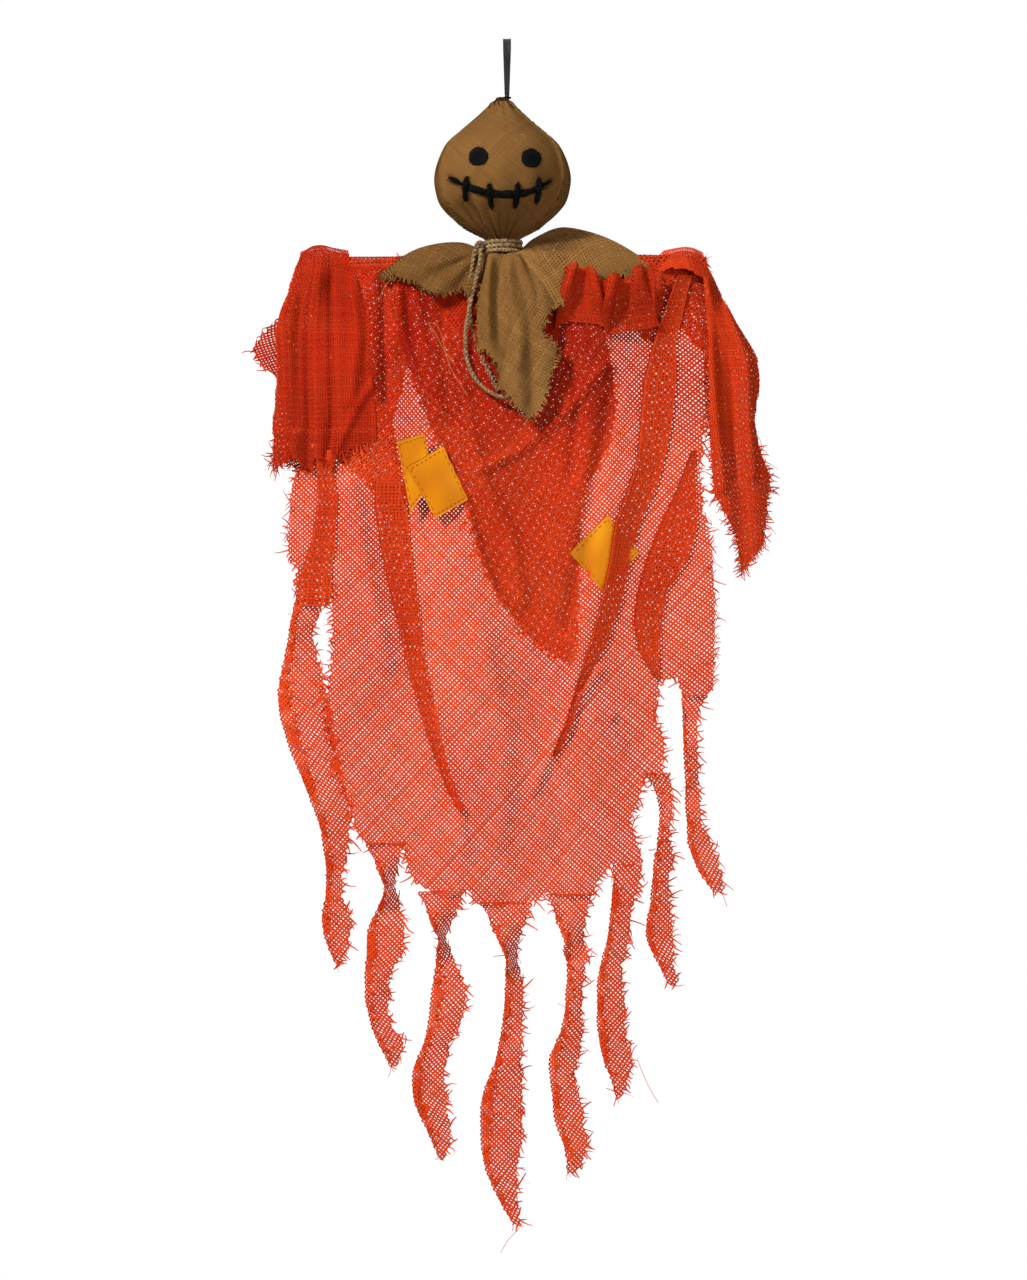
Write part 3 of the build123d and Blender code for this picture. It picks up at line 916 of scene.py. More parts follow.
WING_LEFT = [
    [(-17, 12, -184), (-19.5, 0, -170), (-19, -6, -171), (-16, -11, -172), (-11, -14, -173)],
    [(-37, 20, -188), (-37, 6, -163), (-37, -7, -170), (-36, -12, -186), (-32, -13, -208)],
    [(-60, 20, -190), (-60, 6, -165), (-60, -7, -173), (-58, -12, -190), (-53, -12, -206)],
    [(-80, 20, -192), (-79, 6, -171), (-79, -6, -179), (-77, -10, -190), (-73, -10, -199)],
    [(-104, 18, -194), (-102, 5, -187), (-100, -4, -190), (-97, -7, -194), (-93, -8, -198)]]
WING_LEFT_CUT = [(-110, -200), (-110, -150), (-15, -160), (-13, -180), (-31, -212), (-35, -200), (-48, -205),
                 (-64, -204), (-70, -197), (-78, -193), (-92, -190)]
WING_RIGHT = [
    [(9, 13, -184), (12, 0, -169), (10, -7, -171), (6, -12, -172), (1, -14, -173)],
    [(25, 20, -188), (23, 7, -160), (24, -6, -165), (22, -13, -184), (17, -16, -208)],
    [(49, 21, -188), (47, 8, -151.5), (48, -4, -160), (47, -12, -184), (43, -13, -216)],
    [(82, 21, -190), (82, 8, -160.5), (80, -5, -168), (77, -10, -186), (72, -11, -206)],
    [(118, 18, -192), (115, 5, -178.5), (112, -3, -184), (107, -6, -190), (100, -7, -200)]]
WING_RIGHT_CUT = [(0, -150), (20, -140), (125, -140), (125, -196), (104, -194), (86, -186), (76, -196),
                  (66, -190), (52, -204), (44, -214), (30, -222), (14, -210), (2, -190)]
COLLAR_FLAP = [
    [(-17, -7, -170), (-13, -12, -171), (-8, -15, -172), (-3, -16.5, -172), (3, -16, -172), (8, -13, -171),
     (13, -8, -170)],
    [(-19.5, -11, -186), (-14, -18, -186), (-8, -14, -186), (0, -20, -187), (8, -14, -186), (15, -20, -186),
     (23, -12, -185)],
    [(-23, -12, -210), (-16, -20, -210), (-8, -15, -210), (2, -22, -211), (13, -14, -210), (25, -20, -209),
     (38, -13, -207)],
    [(-24, -13, -242), (-15, -19, -242), (-5, -15, -242), (6, -21, -243), (18, -15, -242), (30, -19, -241),
     (45, -14, -238)],
    [(-20, -14, -278), (-11, -18, -278), (-1, -16, -279), (9, -20, -280), (20, -16, -279), (31, -18, -277),
     (45, -15, -274)],
    [(-14, -15, -309), (-5, -17, -310), (4, -16, -311), (13, -18, -312), (22, -16, -311), (31, -17, -308),
     (43, -15, -304)]]
COLLAR_FLAP_CUT = [(-20, -173), (-17, -178), (-23, -209), (-23.5, -246), (-14, -254), (-7, -262), (-6, -278),
                   (2, -288), (17, -305), (23, -300), (29, -292), (33, -276), (41, -250), (34, -243),
                   (27, -237), (35, -219), (42, -200), (24, -184), (16, -173)]
COLLAR_REAR = [
    [(14, 8, -170), (6, 14, -171), (-4, 16, -171), (-14, 14, -171), (-22, 8, -170)],
    [(38, 18, -182), (18, 24, -186), (-4, 22, -188), (-24, 24, -186), (-40, 19, -182)],
    [(50, 20, -208), (22, 25, -212), (-2, 22, -216), (-28, 25, -212), (-56, 21, -210)],
    [(44, 22, -236), (20, 24, -246), (0, 22, -252), (-24, 24, -244), (-48, 22, -236)],
    [(34, 22, -256), (16, 24, -264), (-2, 22, -270), (-18, 24, -262), (-36, 22, -254)]]
COLLAR_REAR_CUT = [(-24, -165), (-48, -184), (-59, -211), (-36, -238), (-6, -262), (26, -244), (53, -213),
                   (42, -184), (16, -165)]


def gathered(centre, count, depth, reach):
    """Folds that run out from a gathered place, deep near it and gone at reach."""
    middle = mm(centre)

    def shape(points):
        x, z = points[..., 0] - middle[0], points[..., 2] - middle[1]
        away = np.hypot(x, z)
        turn = np.arctan2(z, x)
        strength = depth * MM * fade(away, 8 * MM, 26 * MM) * (1 - fade(away, 0.55 * reach * MM, reach * MM))
        points = points.copy()
        points[..., 1] -= strength * np.sin(count * turn + 1.3 * np.sin(2 * turn))
        return points

    return shape


def folded(points, folds, strength=1.0):
    """The points with raised folds: each a line of X, Z corners, its height and its half width."""
    points = points.copy()
    for line, height, half in folds:
        gap = distance_to(line, points[..., 0], points[..., 2])
        points[..., 1] -= height * MM * strength * np.exp(-(gap / (half * MM)) ** 2)
    return points


# Folds of the flap: a line of X, Z corners, the height it stands forward and its half width
FLAP_FOLDS = [
    ([(-2, -172), (-4, -194), (1, -216), (5, -231), (0, -256)], -3.6, 3.2),
    ([(13, -172), (18, -189), (24, -202), (25, -222)], -4.0, 3.4),
    ([(-13, -180), (-14, -205), (-15, -236)], 2.6, 5.0),
    ([(7, -182), (11, -205), (14, -235), (10, -262)], 3.0, 5.0),
    ([(-14, -240), (-2, -262), (12, -290)], 1.4, 5.0),
    ([(30, -236), (22, -262), (20, -290)], -1.6, 4.0)]


def flap_folds(points):
    """The flap's own folds."""
    return folded(points, FLAP_FOLDS)


def under_tie(point):
    """Whether a place is behind the neck, or so near it that the tie covers the cloth's edge."""
    return math.hypot(point[0] - AXIS_X, point[2] + 168 * MM) < 26 * MM or point[1] > 10 * MM


def make_collar():
    """The four burlap pieces round the neck, each with a second layer behind it that is painted darker, as
    painted shade.
    """
    woven = dict(pitch=BURLAP_PITCH, width=BURLAP_THREAD, fray=(2, 6), bias=38, whole=under_tie)
    # The second layer's threads are painted darker: painted shade behind the first layer
    lining = dict(pitch=BURLAP_PITCH, width=BURLAP_THREAD, fray=(1, 3), bias=-30, whole=under_tie,
                  shade=-0.34)
    left = Drape(WING_LEFT, (0, 24, 40, 56, 75), (0, 22, 45, 65, 90))
    right = Drape(WING_RIGHT, (0, 32, 48, 68, 96), (0, 20, 44, 78, 112))
    flap = Drape(COLLAR_FLAP, (0, 12, 24, 37, 50, 62, 76), (0, 16, 41, 73, 110, 142))
    rear = Drape(COLLAR_REAR, (0, 26, 52, 78, 104), (0, 20, 46, 76, 98))
    # The last value of each piece paints its threads: darker on the left wing as painted shade, lighter on
    # the right wing and the flap as painted light
    pieces = [
        ("collar_left", left, WING_LEFT_CUT, "torso", gathered((-17, -168), 13, 2.0, 80), -0.14),
        ("collar_right", right, WING_RIGHT_CUT, "torso", gathered((9, -168), 11, 1.8, 95), 0.14),
        ("collar_flap", flap, COLLAR_FLAP_CUT, "flap", flap_folds, 0.12),
        ("collar_back", rear, COLLAR_REAR_CUT, "torso", gathered((-4, -166), 9, -1.2, 100), 0.0)]
    for number, (node, drape, outline, body, shape, shade) in enumerate(pieces):
        inner = doubled(drape, outline, shape, 1.3, seed=131 + number, **lining)
        cloth_piece(node + "_cloth", node, drape, outline, seed=31 + number, body=body, material=BURLAP,
                    slot="burlap", shape=shape, shade=shade, extras=[inner], **woven)


# ---------------------------------------------------------------- gauze robe

GAUZE_PITCH, GAUZE_THREAD, GAUZE_BIAS = 2.6, 1.7, 43
DENSE_PITCH, DENSE_THREAD = 2.2, 1.56
FRAY = (5, 17)

# The front sheet, from behind the crossbar over its top and down. Each row is eight points X, Y, Z.
ROBE_ROWS = [
    [(-156, 13, -190), (-112, 13, -190), (-68, 13, -190), (-24, 13, -190), (20, 13, -190), (64, 13, -190),
     (108, 13, -190), (160, 13, -190)],
    [(-156, 8, -174.5), (-112, 8, -174.5), (-68, 8, -174), (-24, 12, -176), (20, 12, -176), (64, 8, -174),
     (108, 8, -173), (160, 8, -174.5)],
    [(-156, 2, -181), (-112, 1, -181), (-68, 1, -182), (-24, 2, -183), (20, 1, -183), (64, -1, -182),
     (108, -1, -180), (160, 3, -181)],
    [(-160, 1, -230), (-114, -5, -230), (-72, 2, -231), (-28, -6, -232), (16, 1, -232), (62, -4, -231),
     (108, 3, -229), (164, 4, -230)],
    [(-166, 2, -300), (-118, -4, -301), (-76, 3, -303), (-30, -6, -304), (15, 0, -304), (62, -5, -302),
     (108, 2, -300), (164, 2, -299)],
    [(-174, 2, -380), (-124, -2, -383), (-77, 2, -386), (-30, -5, -388), (16, 1, -388), (64, -4, -385),
     (112, 1, -381), (162, -3, -377)],
    [(-176, 3, -460), (-126, -2, -465), (-78, 3, -469), (-30, -4, -472), (17, 2, -472), (64, -4, -468),
     (114, 1, -462), (166, -2, -456)],
    [(-172, 3, -545), (-124, -2, -550), (-78, 3, -554), (-30, -4, -556), (16, 2, -556), (63, -3, -552),
     (112, 2, -546), (164, -2, -540)],
    [(-166, 3, -625), (-120, -1, -631), (-76, 3, -636), (-30, -3, -638), (16, 3, -638), (61, -2, -634),
     (108, 3, -628), (158, -1, -622)],
    [(-160, 3, -700), (-116, 0, -706), (-74, 3, -712), (-29, 0, -716), (16, 3, -716), (60, 0, -712),
     (104, 3, -704), (152, 0, -698)]]
ROBE_ACROSS = (0, 48, 96, 144, 192, 240, 288, 336)
ROBE_DOWN = (0, 17, 27, 76, 147, 229, 312, 397, 478, 556)
ROBE_CUT = [(-156, -230), (-156, -166), (-100, -166), (161, -166), (162, -250), (161, -300), (157, -328),
            (154, -345), (159, -390),
            (168, -425), (170, -455), (179, -475), (174, -488), (181, -500), (170, -519), (160, -526),
            (140, -527), (136, -512), (122, -514), (119, -545), (128, -562), (124, -588), (112, -592),
            (109, -602), (98, -625), (104, -640), (110, -661), (96, -663), (82, -661), (74, -672),
            (70, -685), (46, -687), (28, -683), (26, -690), (-1, -695), (-25, -692), (-32, -681),
            (-36, -686), (-54, -687), (-74, -676), (-79, -664), (-84, -646), (-112, -645), (-121, -632),
            (-127, -612), (-140, -575), (-146, -532), (-139, -486), (-141, -438), (-172, -438),
            (-169, -424), (-178, -405), (-184, -376), (-171, -352), (-162, -335), (-158, -300)]
# Raised creases in the front sheet: a line of X, Z corners, height and half width
CREASES = [
    ([(-86, -201), (-84, -233), (-76, -257), (-62, -305), (-51, -327), (-33, -369), (-22, -411), (-9, -444),
      (18, -476), (58, -521), (84, -543)], 4.2, 3.8),
    ([(74, -505), (56, -528), (31, -581), (22, -601)], 3.6, 4.4),
    ([(70, -542), (95, -570), (118, -592)], 3.4, 4.0),
    ([(-57, -536), (-47, -580), (-38, -618), (-33, -650)], 3.0, 4.0),
    ([(-98, -190), (-98, -240), (-96, -290)], -5.0, 4.6),
    ([(78, -262), (48, -300), (10, -330), (-20, -345)], 3.0, 4.4),
    ([(-125, -360), (-112, -420), (-96, -500)], 4.0, 7.0),
    ([(86, -270), (76, -330), (62, -400), (50, -470)], -4.5, 7.0),
    ([(-72, -200), (-66, -250), (-56, -300)], 4.0, 5.0),
    ([(-50, -210), (-50, -260), (-40, -310)], -4.5, 5.0),
    ([(-36, -280), (-20, -350), (4, -400), (12, -450)], 3.6, 6.0),
    ([(40, -240), (58, -290), (52, -350)], -4.0, 5.5),
    ([(-20, -480), (0, -560), (-4, -640)], 3.4, 9.0),
    ([(20, -520), (40, -600), (44, -660)], -3.4, 8.0)]
# Pleats that lie on the front sheet: stations X and Z of the crisp left edge, width
PLEATS = [
    ([(136, -190, 12), (129, -208, 14), (117, -243, 17), (109, -273, 26), (106, -306, 26), (104, -334, 22),
      (96, -360, 22), (86, -386, 20), (81, -419, 18), (75, -449, 16), (67, -480, 13), (57, -510, 9),
      (46, -548, 6), (35, -575, 4)], 4.4),
    ([(147, -330, 5), (136, -360, 16), (124, -384, 30), (112, -414, 36), (104, -442, 26), (101, -466, 24),
      (105, -489, 18), (118, -512, 5)], 2.2),
    ([(-153, -330, 12), (-151, -369, 16), (-156, -401, 18), (-166, -431, 24), (-168, -455, 26)], 3.0),
    ([(-106, -352, 26), (-106, -373, 25), (-102, -401, 24), (-96, -433, 21), (-88, -465, 18), (-77, -513, 14),
      (-63, -561, 11), (-48, -601, 7), (-38, -618, 4)], 3.2)]
PLEAT_CLEAR = 2.0        # how far in front of the sheet a pleat starts
TUCKED = 0.14            # the share of a pleat's width that turns under at its crisp edge


def robe_surface(points):
    """Creases, and soft waves lower down."""
    points = folded(points, CREASES)
    x, z = points[..., 0], points[..., 2]
    points[..., 1] += 1.6 * MM * ripple(x, z, 71, 0.07) * fade(-z, 200 * MM, 260 * MM)
    return points


def pleat_on(base_y, stations, rise, seed):
    """A pleat: one more layer of cloth along its stations, proud of the sheet at a turned-under left edge."""
    rows = np.array(stations, float) * MM
    travelled = travelled_along(rows[:, :2])
    widest = rows[:, 2].max()

    def place(u, v):
        left, height, wide = (np.interp(v, travelled, rows[:, k]) for k in range(3))
        share = u / widest
        # The first part of the width turns under, and the pleat is highest where it does
        under = np.clip(TUCKED - share, 0, TUCKED) / TUCKED
        lateral = np.where(share < TUCKED, TUCKED * under ** 2 * 1.4, (share - TUCKED) / (1 - TUCKED))
        swell = rise * (1 - lateral) ** 1.5 * (1 - 0.75 * under)
        x = left + wide * lateral + 1.2 * MM * ripple(v, u, seed, 0.03) * lateral
        y = base_y(x, height) - MM * (PLEAT_CLEAR + swell)
        return np.stack([x, y, height], axis=-1)

    def keep(points, u, v):
        return np.ones(u.shape, bool)

    def add(threads):
        size = (widest / MM, travelled[-1] / MM)
        # A pleat's threads are painted a little lighter, as painted light that shines through the single
        # layer
        return weave(threads, place, size, keep, GAUZE_PITCH, GAUZE_THREAD, seed, fray=(0, 0), shade=0.12)

    return add


# The ruffle at the right of the collar: where it starts and ends, its folds and the cloth that they take
RUFFLE_LEFT, RUFFLE_RIGHT, RUFFLES = 42.0, 120.0, 4.5
RUFFLE_CLOTH, RUFFLE_DEEP = 176.0, 62.0


def ruffle(threads):
    """Folds gathered side by side, each with a rounded top that stands in front of the collar's edge."""
    turns = 2 * math.pi * RUFFLES
    step = (RUFFLE_RIGHT - RUFFLE_LEFT) / turns

    def place(u, v):
        turn = turns * u / (RUFFLE_CLOTH * MM)
        down = v / (RUFFLE_DEEP * MM)
        uneven = 1 + 0.35 * np.sin(0.43 * turn + 1)
        # Each fold is deep and round at the top and dies out downward, and none leaves the cloth's two ends
        deep = (1 - fade(down, 0.3, 1.0)) * uneven
        bulge = (1 - np.cos(turn)) / 2
        ends = fade(u, 0, 26 * MM) * (1 - fade(u, (RUFFLE_CLOTH - 12) * MM, RUFFLE_CLOTH * MM))
        x = RUFFLE_LEFT + step * (turn + 0.6 * deep * np.sin(2 * turn) + 0.5 * np.sin(0.37 * turn))
        x = x - 12 * down * np.sin(0.45 * turn) + 3 * np.sin(5 * down + turn) * down
        y = -6 - 8 * (1 - fade(down, 0.1, 0.9)) * ends - 8.5 * deep * bulge * ends
        z = -186 - 5 * (1 - bulge) * (1 - down) * uneven - 50 * down + 5 * np.sin(0.31 * turn)
        return np.stack([x, y, z], axis=-1) * MM

    def keep(points, u, v):
        return v < (RUFFLE_DEEP - 3 - 4 * ripple(u, u, 57, 0.05)) * MM

    # The ruffle's threads are painted darker, as painted shade in its folds
    return weave(threads, place, (RUFFLE_CLOTH, RUFFLE_DEEP), keep, DENSE_PITCH, DENSE_THREAD, 58,
                 fray=(0, 0), shade=-0.2)


FRONT_STARTS = 27 * MM   # how far down the front sheet's cloth it has come over the bar


def make_robe_front():
    """The front sheet with its pleats and ruffle. Returns its Y at X, Z, for the patch that lies on it."""
    drape = Drape(ROBE_ROWS, ROBE_ACROSS, ROBE_DOWN)
    wide, tall = drape.across[-1], drape.down[-1]
    # Only the part in front of the bar is known, so that one X, Z has one Y
    sheet_u, sheet_v = np.meshgrid(np.linspace(0, wide, 120), np.linspace(FRONT_STARTS, tall, 200),
                                   indexing="ij")
    known = robe_surface(drape(sheet_u, sheet_v))

    def base_y(x, z):
        """The sheet's Y at X, Z, between the known points round it."""
        first, last = known[0, :, 0].mean(), known[-1, :, 0].mean()
        column = np.clip((x - first) / (last - first), 0, 1) * (known.shape[0] - 1)
        row = np.interp(-z, -known[len(known) // 2, :, 2], np.arange(known.shape[1]))
        left = np.minimum(column.astype(int), known.shape[0] - 2)
        above = np.minimum(row.astype(int), known.shape[1] - 2)
        right, low = column - left, row - above
        y = known[..., 1]
        upper = (1 - right) * y[left, above] + right * y[left + 1, above]
        lower = (1 - right) * y[left, above + 1] + right * y[left + 1, above + 1]
        return (1 - low) * upper + low * lower

    extras = [pleat_on(base_y, stations, rise, 80 + number) for number, (stations, rise) in enumerate(PLEATS)]
    extras.append(ruffle)
    # The front sheet's single layer is painted lighter, as painted light that shines through it, and darker
    # over the shoulders and chest, as painted shade
    cloth_piece("robe_front_gauze", "robe_front", drape, ROBE_CUT, GAUZE_PITCH, GAUZE_THREAD, 41, "torso",
                GAUZE, "gauze", shape=robe_surface, extras=extras, fray=FRAY, bias=GAUZE_BIAS, shade=0.2,
                whole=at_tail_root, stained=painted_chest_shade)
    return base_y


def painted_chest_shade(points):
    """Painted shade: darker threads over the shoulders and chest, more on the left, where the layers shade
    each other.
    """
    x, z = points[..., 0], points[..., 2]
    chest = inside(ROBE_BACK_CUT, x, z) * (1 - 0.5 * fade(-z, 330 * MM, 480 * MM))
    left = 1 - fade(x, -100 * MM, -40 * MM)
    return -(0.3 + 0.2 * left) * (1 - fade(-z, 270 * MM, 350 * MM)) - 0.26 * chest


ROOT_REACH = 9           # how far above or below a tail's root the robe's hem may be


def at_tail_root(point):
    """Whether a place on the robe's hem is where a tail goes on downward."""
    for node, stations in TAILS.items():
        x, _, wide = stations[0]
        beside, below = point[0] / MM - x, point[2] / MM - TAIL_ROOTS[node]
        if abs(beside) < wide / 2 + 1 and abs(below) < ROOT_REACH:
            return True
    return False


ROBE_BACK_ROWS = [
    [(-90, 6, -173.5), (-30, 9, -175), (30, 9, -175), (104, 6, -173.5)],
    [(-90, 15, -184), (-30, 16, -185), (30, 16, -185), (104, 15, -184)],
    [(-92, 17, -240), (-30, 12, -242), (32, 18, -242), (104, 14, -240)],
    [(-92, 13, -330), (-30, 18, -332), (34, 13, -332), (104, 16, -330)],
    [(-94, 15, -420), (-30, 13, -422), (36, 17, -422), (104, 13, -420)],
    [(-94, 14, -510), (-30, 16, -512), (36, 14, -512), (104, 15, -510)]]
ROBE_BACK_CUT = [(-88, -165), (-87, -240), (-76, -270), (-62, -310), (-51, -332), (-33, -374), (-22, -414),
                 (-9, -446), (18, -478), (50, -500), (56, -481), (58, -430), (60, -365), (70, -345),
                 (82, -325), (88, -289), (80, -240), (104, -200), (104, -165)]

SLEEVE_LEFT_ROWS = [
    [(-166, 12, -169), (-158, 12, -166), (-148, 12, -165), (-138, 12, -166), (-122, 12, -169)],
    [(-167, 9, -175), (-159, 9, -167), (-150, 8, -165), (-140, 8, -168), (-122, 8, -175)],
    [(-172, 0, -188), (-160, -6, -184), (-150, -9, -184), (-138, -5, -186), (-120, 0, -190)],
    [(-190, 4, -222), (-172, -6, -220), (-154, -2, -222), (-138, -8, -222), (-112, -3, -224)],
    [(-187, 2, -262), (-172, -9, -262), (-155, -2, -263), (-137, -9, -262), (-108, -2, -264)],
    [(-187, 0, -305), (-170, -10, -306), (-154, -3, -307), (-135, -7, -306), (-104, -2, -306)],
    [(-189, 2, -352), (-172, -7, -353), (-155, -2, -354), (-136, -6, -352), (-104, -1, -350)]]
SLEEVE_LEFT_CUT = [(-168, -176), (-164, -158), (-130, -158), (-124, -180), (-110, -200), (-104, -250),
                   (-98, -300), (-104, -322), (-118, -326), (-132, -332), (-140, -342), (-152, -336),
                   (-158, -346), (-172, -334), (-188, -346), (-187, -300), (-184, -268), (-186, -232),
                   (-176, -204)]
SLEEVE_RIGHT_ROWS = [
    [(116, 12, -170), (130, 12, -167), (142, 12, -165), (150, 12, -166), (158, 12, -170)],
    [(118, 8, -176), (132, 9, -170), (142, 9, -168), (151, 9, -170), (160, 9, -178)],
    [(122, -1, -188), (134, -7, -184), (145, -10, -184), (155, -8, -188), (166, -1, -192)],
    [(138, -2, -222), (149, -9, -222), (160, -6, -222), (172, -10, -222), (182, -2, -224)],
    [(148, -3, -262), (160, -10, -262), (174, -5, -262), (188, -9, -262), (203, -1, -262)],
    [(155, -4, -306), (167, -10, -306), (180, -5, -307), (190, -8, -307), (203, -1, -306)],
    [(160, -3, -350), (173, -9, -350), (186, -4, -351), (197, -8, -352), (212, 0, -352)],
    [(165, -3, -395), (177, -8, -395), (190, -4, -396), (200, -7, -396), (214, 0, -396)],
    [(168, -3, -440), (180, -7, -441), (191, -4, -442), (202, -6, -442), (214, 0, -442)]]
SLEEVE_RIGHT_CUT = [(118, -176), (132, -160), (154, -162), (162, -180), (173, -208), (187, -231), (201, -254),
                    (202, -278), (198, -306), (204, -334), (211, -350), (208, -376), (205, -404), (196, -416),
                    (187, -430), (184, -400), (174, -378), (165, -363), (162, -325), (161, -278), (160, -231),
                    (156, -192), (140, -184), (120, -186)]
BACK_LEFT_ROWS = [
    [(-160, 14, -181), (-134, 14, -180), (-106, 12.5, -179), (-78, 7, -174)],
    [(-166, 18, -184), (-136, 19, -184), (-106, 17, -184), (-78, 16, -184)],
    [(-206, 17, -236), (-158, 13, -236), (-116, 19, -237), (-76, 14, -236)],
    [(-200, 14, -290), (-158, 19, -292), (-118, 14, -293), (-76, 18, -292)],
    [(-184, 16, -350), (-150, 14, -354), (-114, 18, -355), (-76, 14, -352)],
    [(-180, 15, -420), (-146, 17, -424), (-112, 14, -424), (-76, 16, -420)]]
BACK_LEFT_CUT = [(-162, -165), (-172, -194), (-186, -222), (-205, -245), (-196, -262), (-186, -268),
                 (-180, -300), (-178, -338), (-164, -346), (-150, -340), (-138, -334), (-122, -346),
                 (-102, -362), (-80, -394), (-85, -370), (-88, -330), (-92, -304), (-84, -280), (-78, -240),
                 (-78, -165)]
BACK_RIGHT_ROWS = [
    [(86, 8, -175), (116, 13, -179), (140, 14, -180), (158, 14, -181)],
    [(86, 15, -184), (118, 18, -184), (144, 18, -184), (162, 17, -186)],
    [(90, 17, -240), (128, 13, -240), (160, 18, -240), (186, 13, -240)],
    [(122, 13, -300), (146, 18, -300), (170, 14, -300), (194, 17, -300)],
    [(130, 16, -352), (150, 14, -353), (172, 17, -353), (196, 14, -352)]]
BACK_RIGHT_CUT = [(88, -165), (90, -212), (102, -228), (112, -244), (126, -236), (140, -230), (158, -250),
                  (160, -300), (166, -330), (180, -322), (190, -264), (176, -204), (162, -165)]

# Folds of the sleeves: a line of X, Z corners, the height it stands forward and its half width
LEFT_FOLDS = [
    ([(-150, -175), (-152, -230), (-150, -300), (-150, -345)], 3.4, 4.5),
    ([(-163, -190), (-168, -240), (-168, -310)], -2.6, 4.0),
    ([(-140, -180), (-139, -240), (-138, -300), (-142, -335)], -4.2, 4.0),
    ([(-122, -190), (-118, -240), (-124, -290)], 3.0, 5.0),
    ([(-136, -330), (-122, -300), (-104, -270)], 2.4, 3.4),
    ([(-178, -215), (-180, -270), (-182, -330)], 2.2, 4.0)]
RIGHT_FOLDS = [
    ([(160, -195), (164, -240), (166, -300), (172, -360)], 3.2, 3.5),
    ([(168, -200), (178, -245), (182, -300), (184, -350)], -3.0, 4.5),
    ([(176, -215), (192, -255), (194, -300), (196, -350)], 2.6, 4.0)]


def sleeve_folds(seed, folds):
    """Long falling folds, and small uneven waves all over."""
    wave = waved(seed, 1.0)

    def shape(points):
        points = wave(points)
        return folded(points, folds, fade(-points[..., 2], 180 * MM, 200 * MM))

    return shape


def waved(seed, depth):
    """Small uneven waves all over a cloth."""

    def shape(points):
        points = points.copy()
        points[..., 1] += depth * MM * ripple(points[..., 0], points[..., 2], seed, 0.05)
        return points

    return shape


CORNER_REACH = 24


def torn_below(height, corner=None):
    """Fray only below a height and, if one is given, near one corner X, Z."""

    def whole(point):
        near = corner and math.hypot(point[0] / MM - corner[0], point[2] / MM - corner[1]) < CORNER_REACH
        return point[2] > height * MM and not near

    return whole


SLEEVE_GAP = 3.2         # between the two layers of a sleeve


def make_robe_layers():
    """The denser gauze: the robe's rear fall, the sleeves, and the sheets behind the arms. The rear fall, the
    sleeves' second layers, the left sleeve and the sheet behind the left arm are painted darker, as painted
    shade.
    """
    dense = dict(pitch=DENSE_PITCH, width=DENSE_THREAD, material=GAUZE, slot="gauze", fray=FRAY)
    rear = dict(pitch=DENSE_PITCH, width=DENSE_THREAD, fray=FRAY, bias=-30, shade=-0.2,
                whole=torn_below(-330))
    cloth_piece("robe_back_gauze", "robe_back",
                Drape(ROBE_BACK_ROWS, (0, 62, 124, 198), (0, 14, 71, 162, 253, 344)), ROBE_BACK_CUT,
                seed=42, body="torso", shape=waved(91, 1.8), bias=-27, shade=-0.05, **dense)
    sleeve = Drape(SLEEVE_LEFT_ROWS, (0, 22, 44, 66, 96), (0, 8, 28, 66, 108, 154, 200))
    folds = sleeve_folds(92, LEFT_FOLDS)
    cloth_piece("sleeve_left_gauze", "sleeve_left", sleeve, SLEEVE_LEFT_CUT, seed=43, body="sleeve_left",
                shape=folds, shade=-0.26, whole=torn_below(-318),
                extras=[doubled(sleeve, SLEEVE_LEFT_CUT, folds, SLEEVE_GAP, seed=47, **rear)], **dense)
    sleeve = Drape(SLEEVE_RIGHT_ROWS, (0, 16, 34, 52, 72), (0, 8, 28, 66, 107, 152, 197, 243, 289))
    folds = sleeve_folds(93, RIGHT_FOLDS)
    cloth_piece("sleeve_right_gauze", "sleeve_right", sleeve, SLEEVE_RIGHT_CUT, seed=44, body="sleeve_right",
                shape=folds, whole=torn_below(-326),
                extras=[doubled(sleeve, SLEEVE_RIGHT_CUT, folds, SLEEVE_GAP, seed=48, **rear)], **dense)
    cloth_piece("sleeve_left_back_gauze", "sleeve_left_back",
                Drape(BACK_LEFT_ROWS, (0, 40, 80, 122), (0, 8, 62, 118, 178, 248)), BACK_LEFT_CUT,
                seed=45, body="torso", shape=waved(94, 1.5), shade=-0.24,
                whole=torn_below(-336, (-205, -247)), bias=-21, **dense)
    cloth_piece("sleeve_right_back_gauze", "sleeve_right_back",
                Drape(BACK_RIGHT_ROWS, (0, 28, 54, 82), (0, 8, 64, 126, 180)), BACK_RIGHT_CUT,
                seed=46, body="torso", shape=waved(95, 1.5), whole=torn_below(-300),
                bias=-24, **dense)


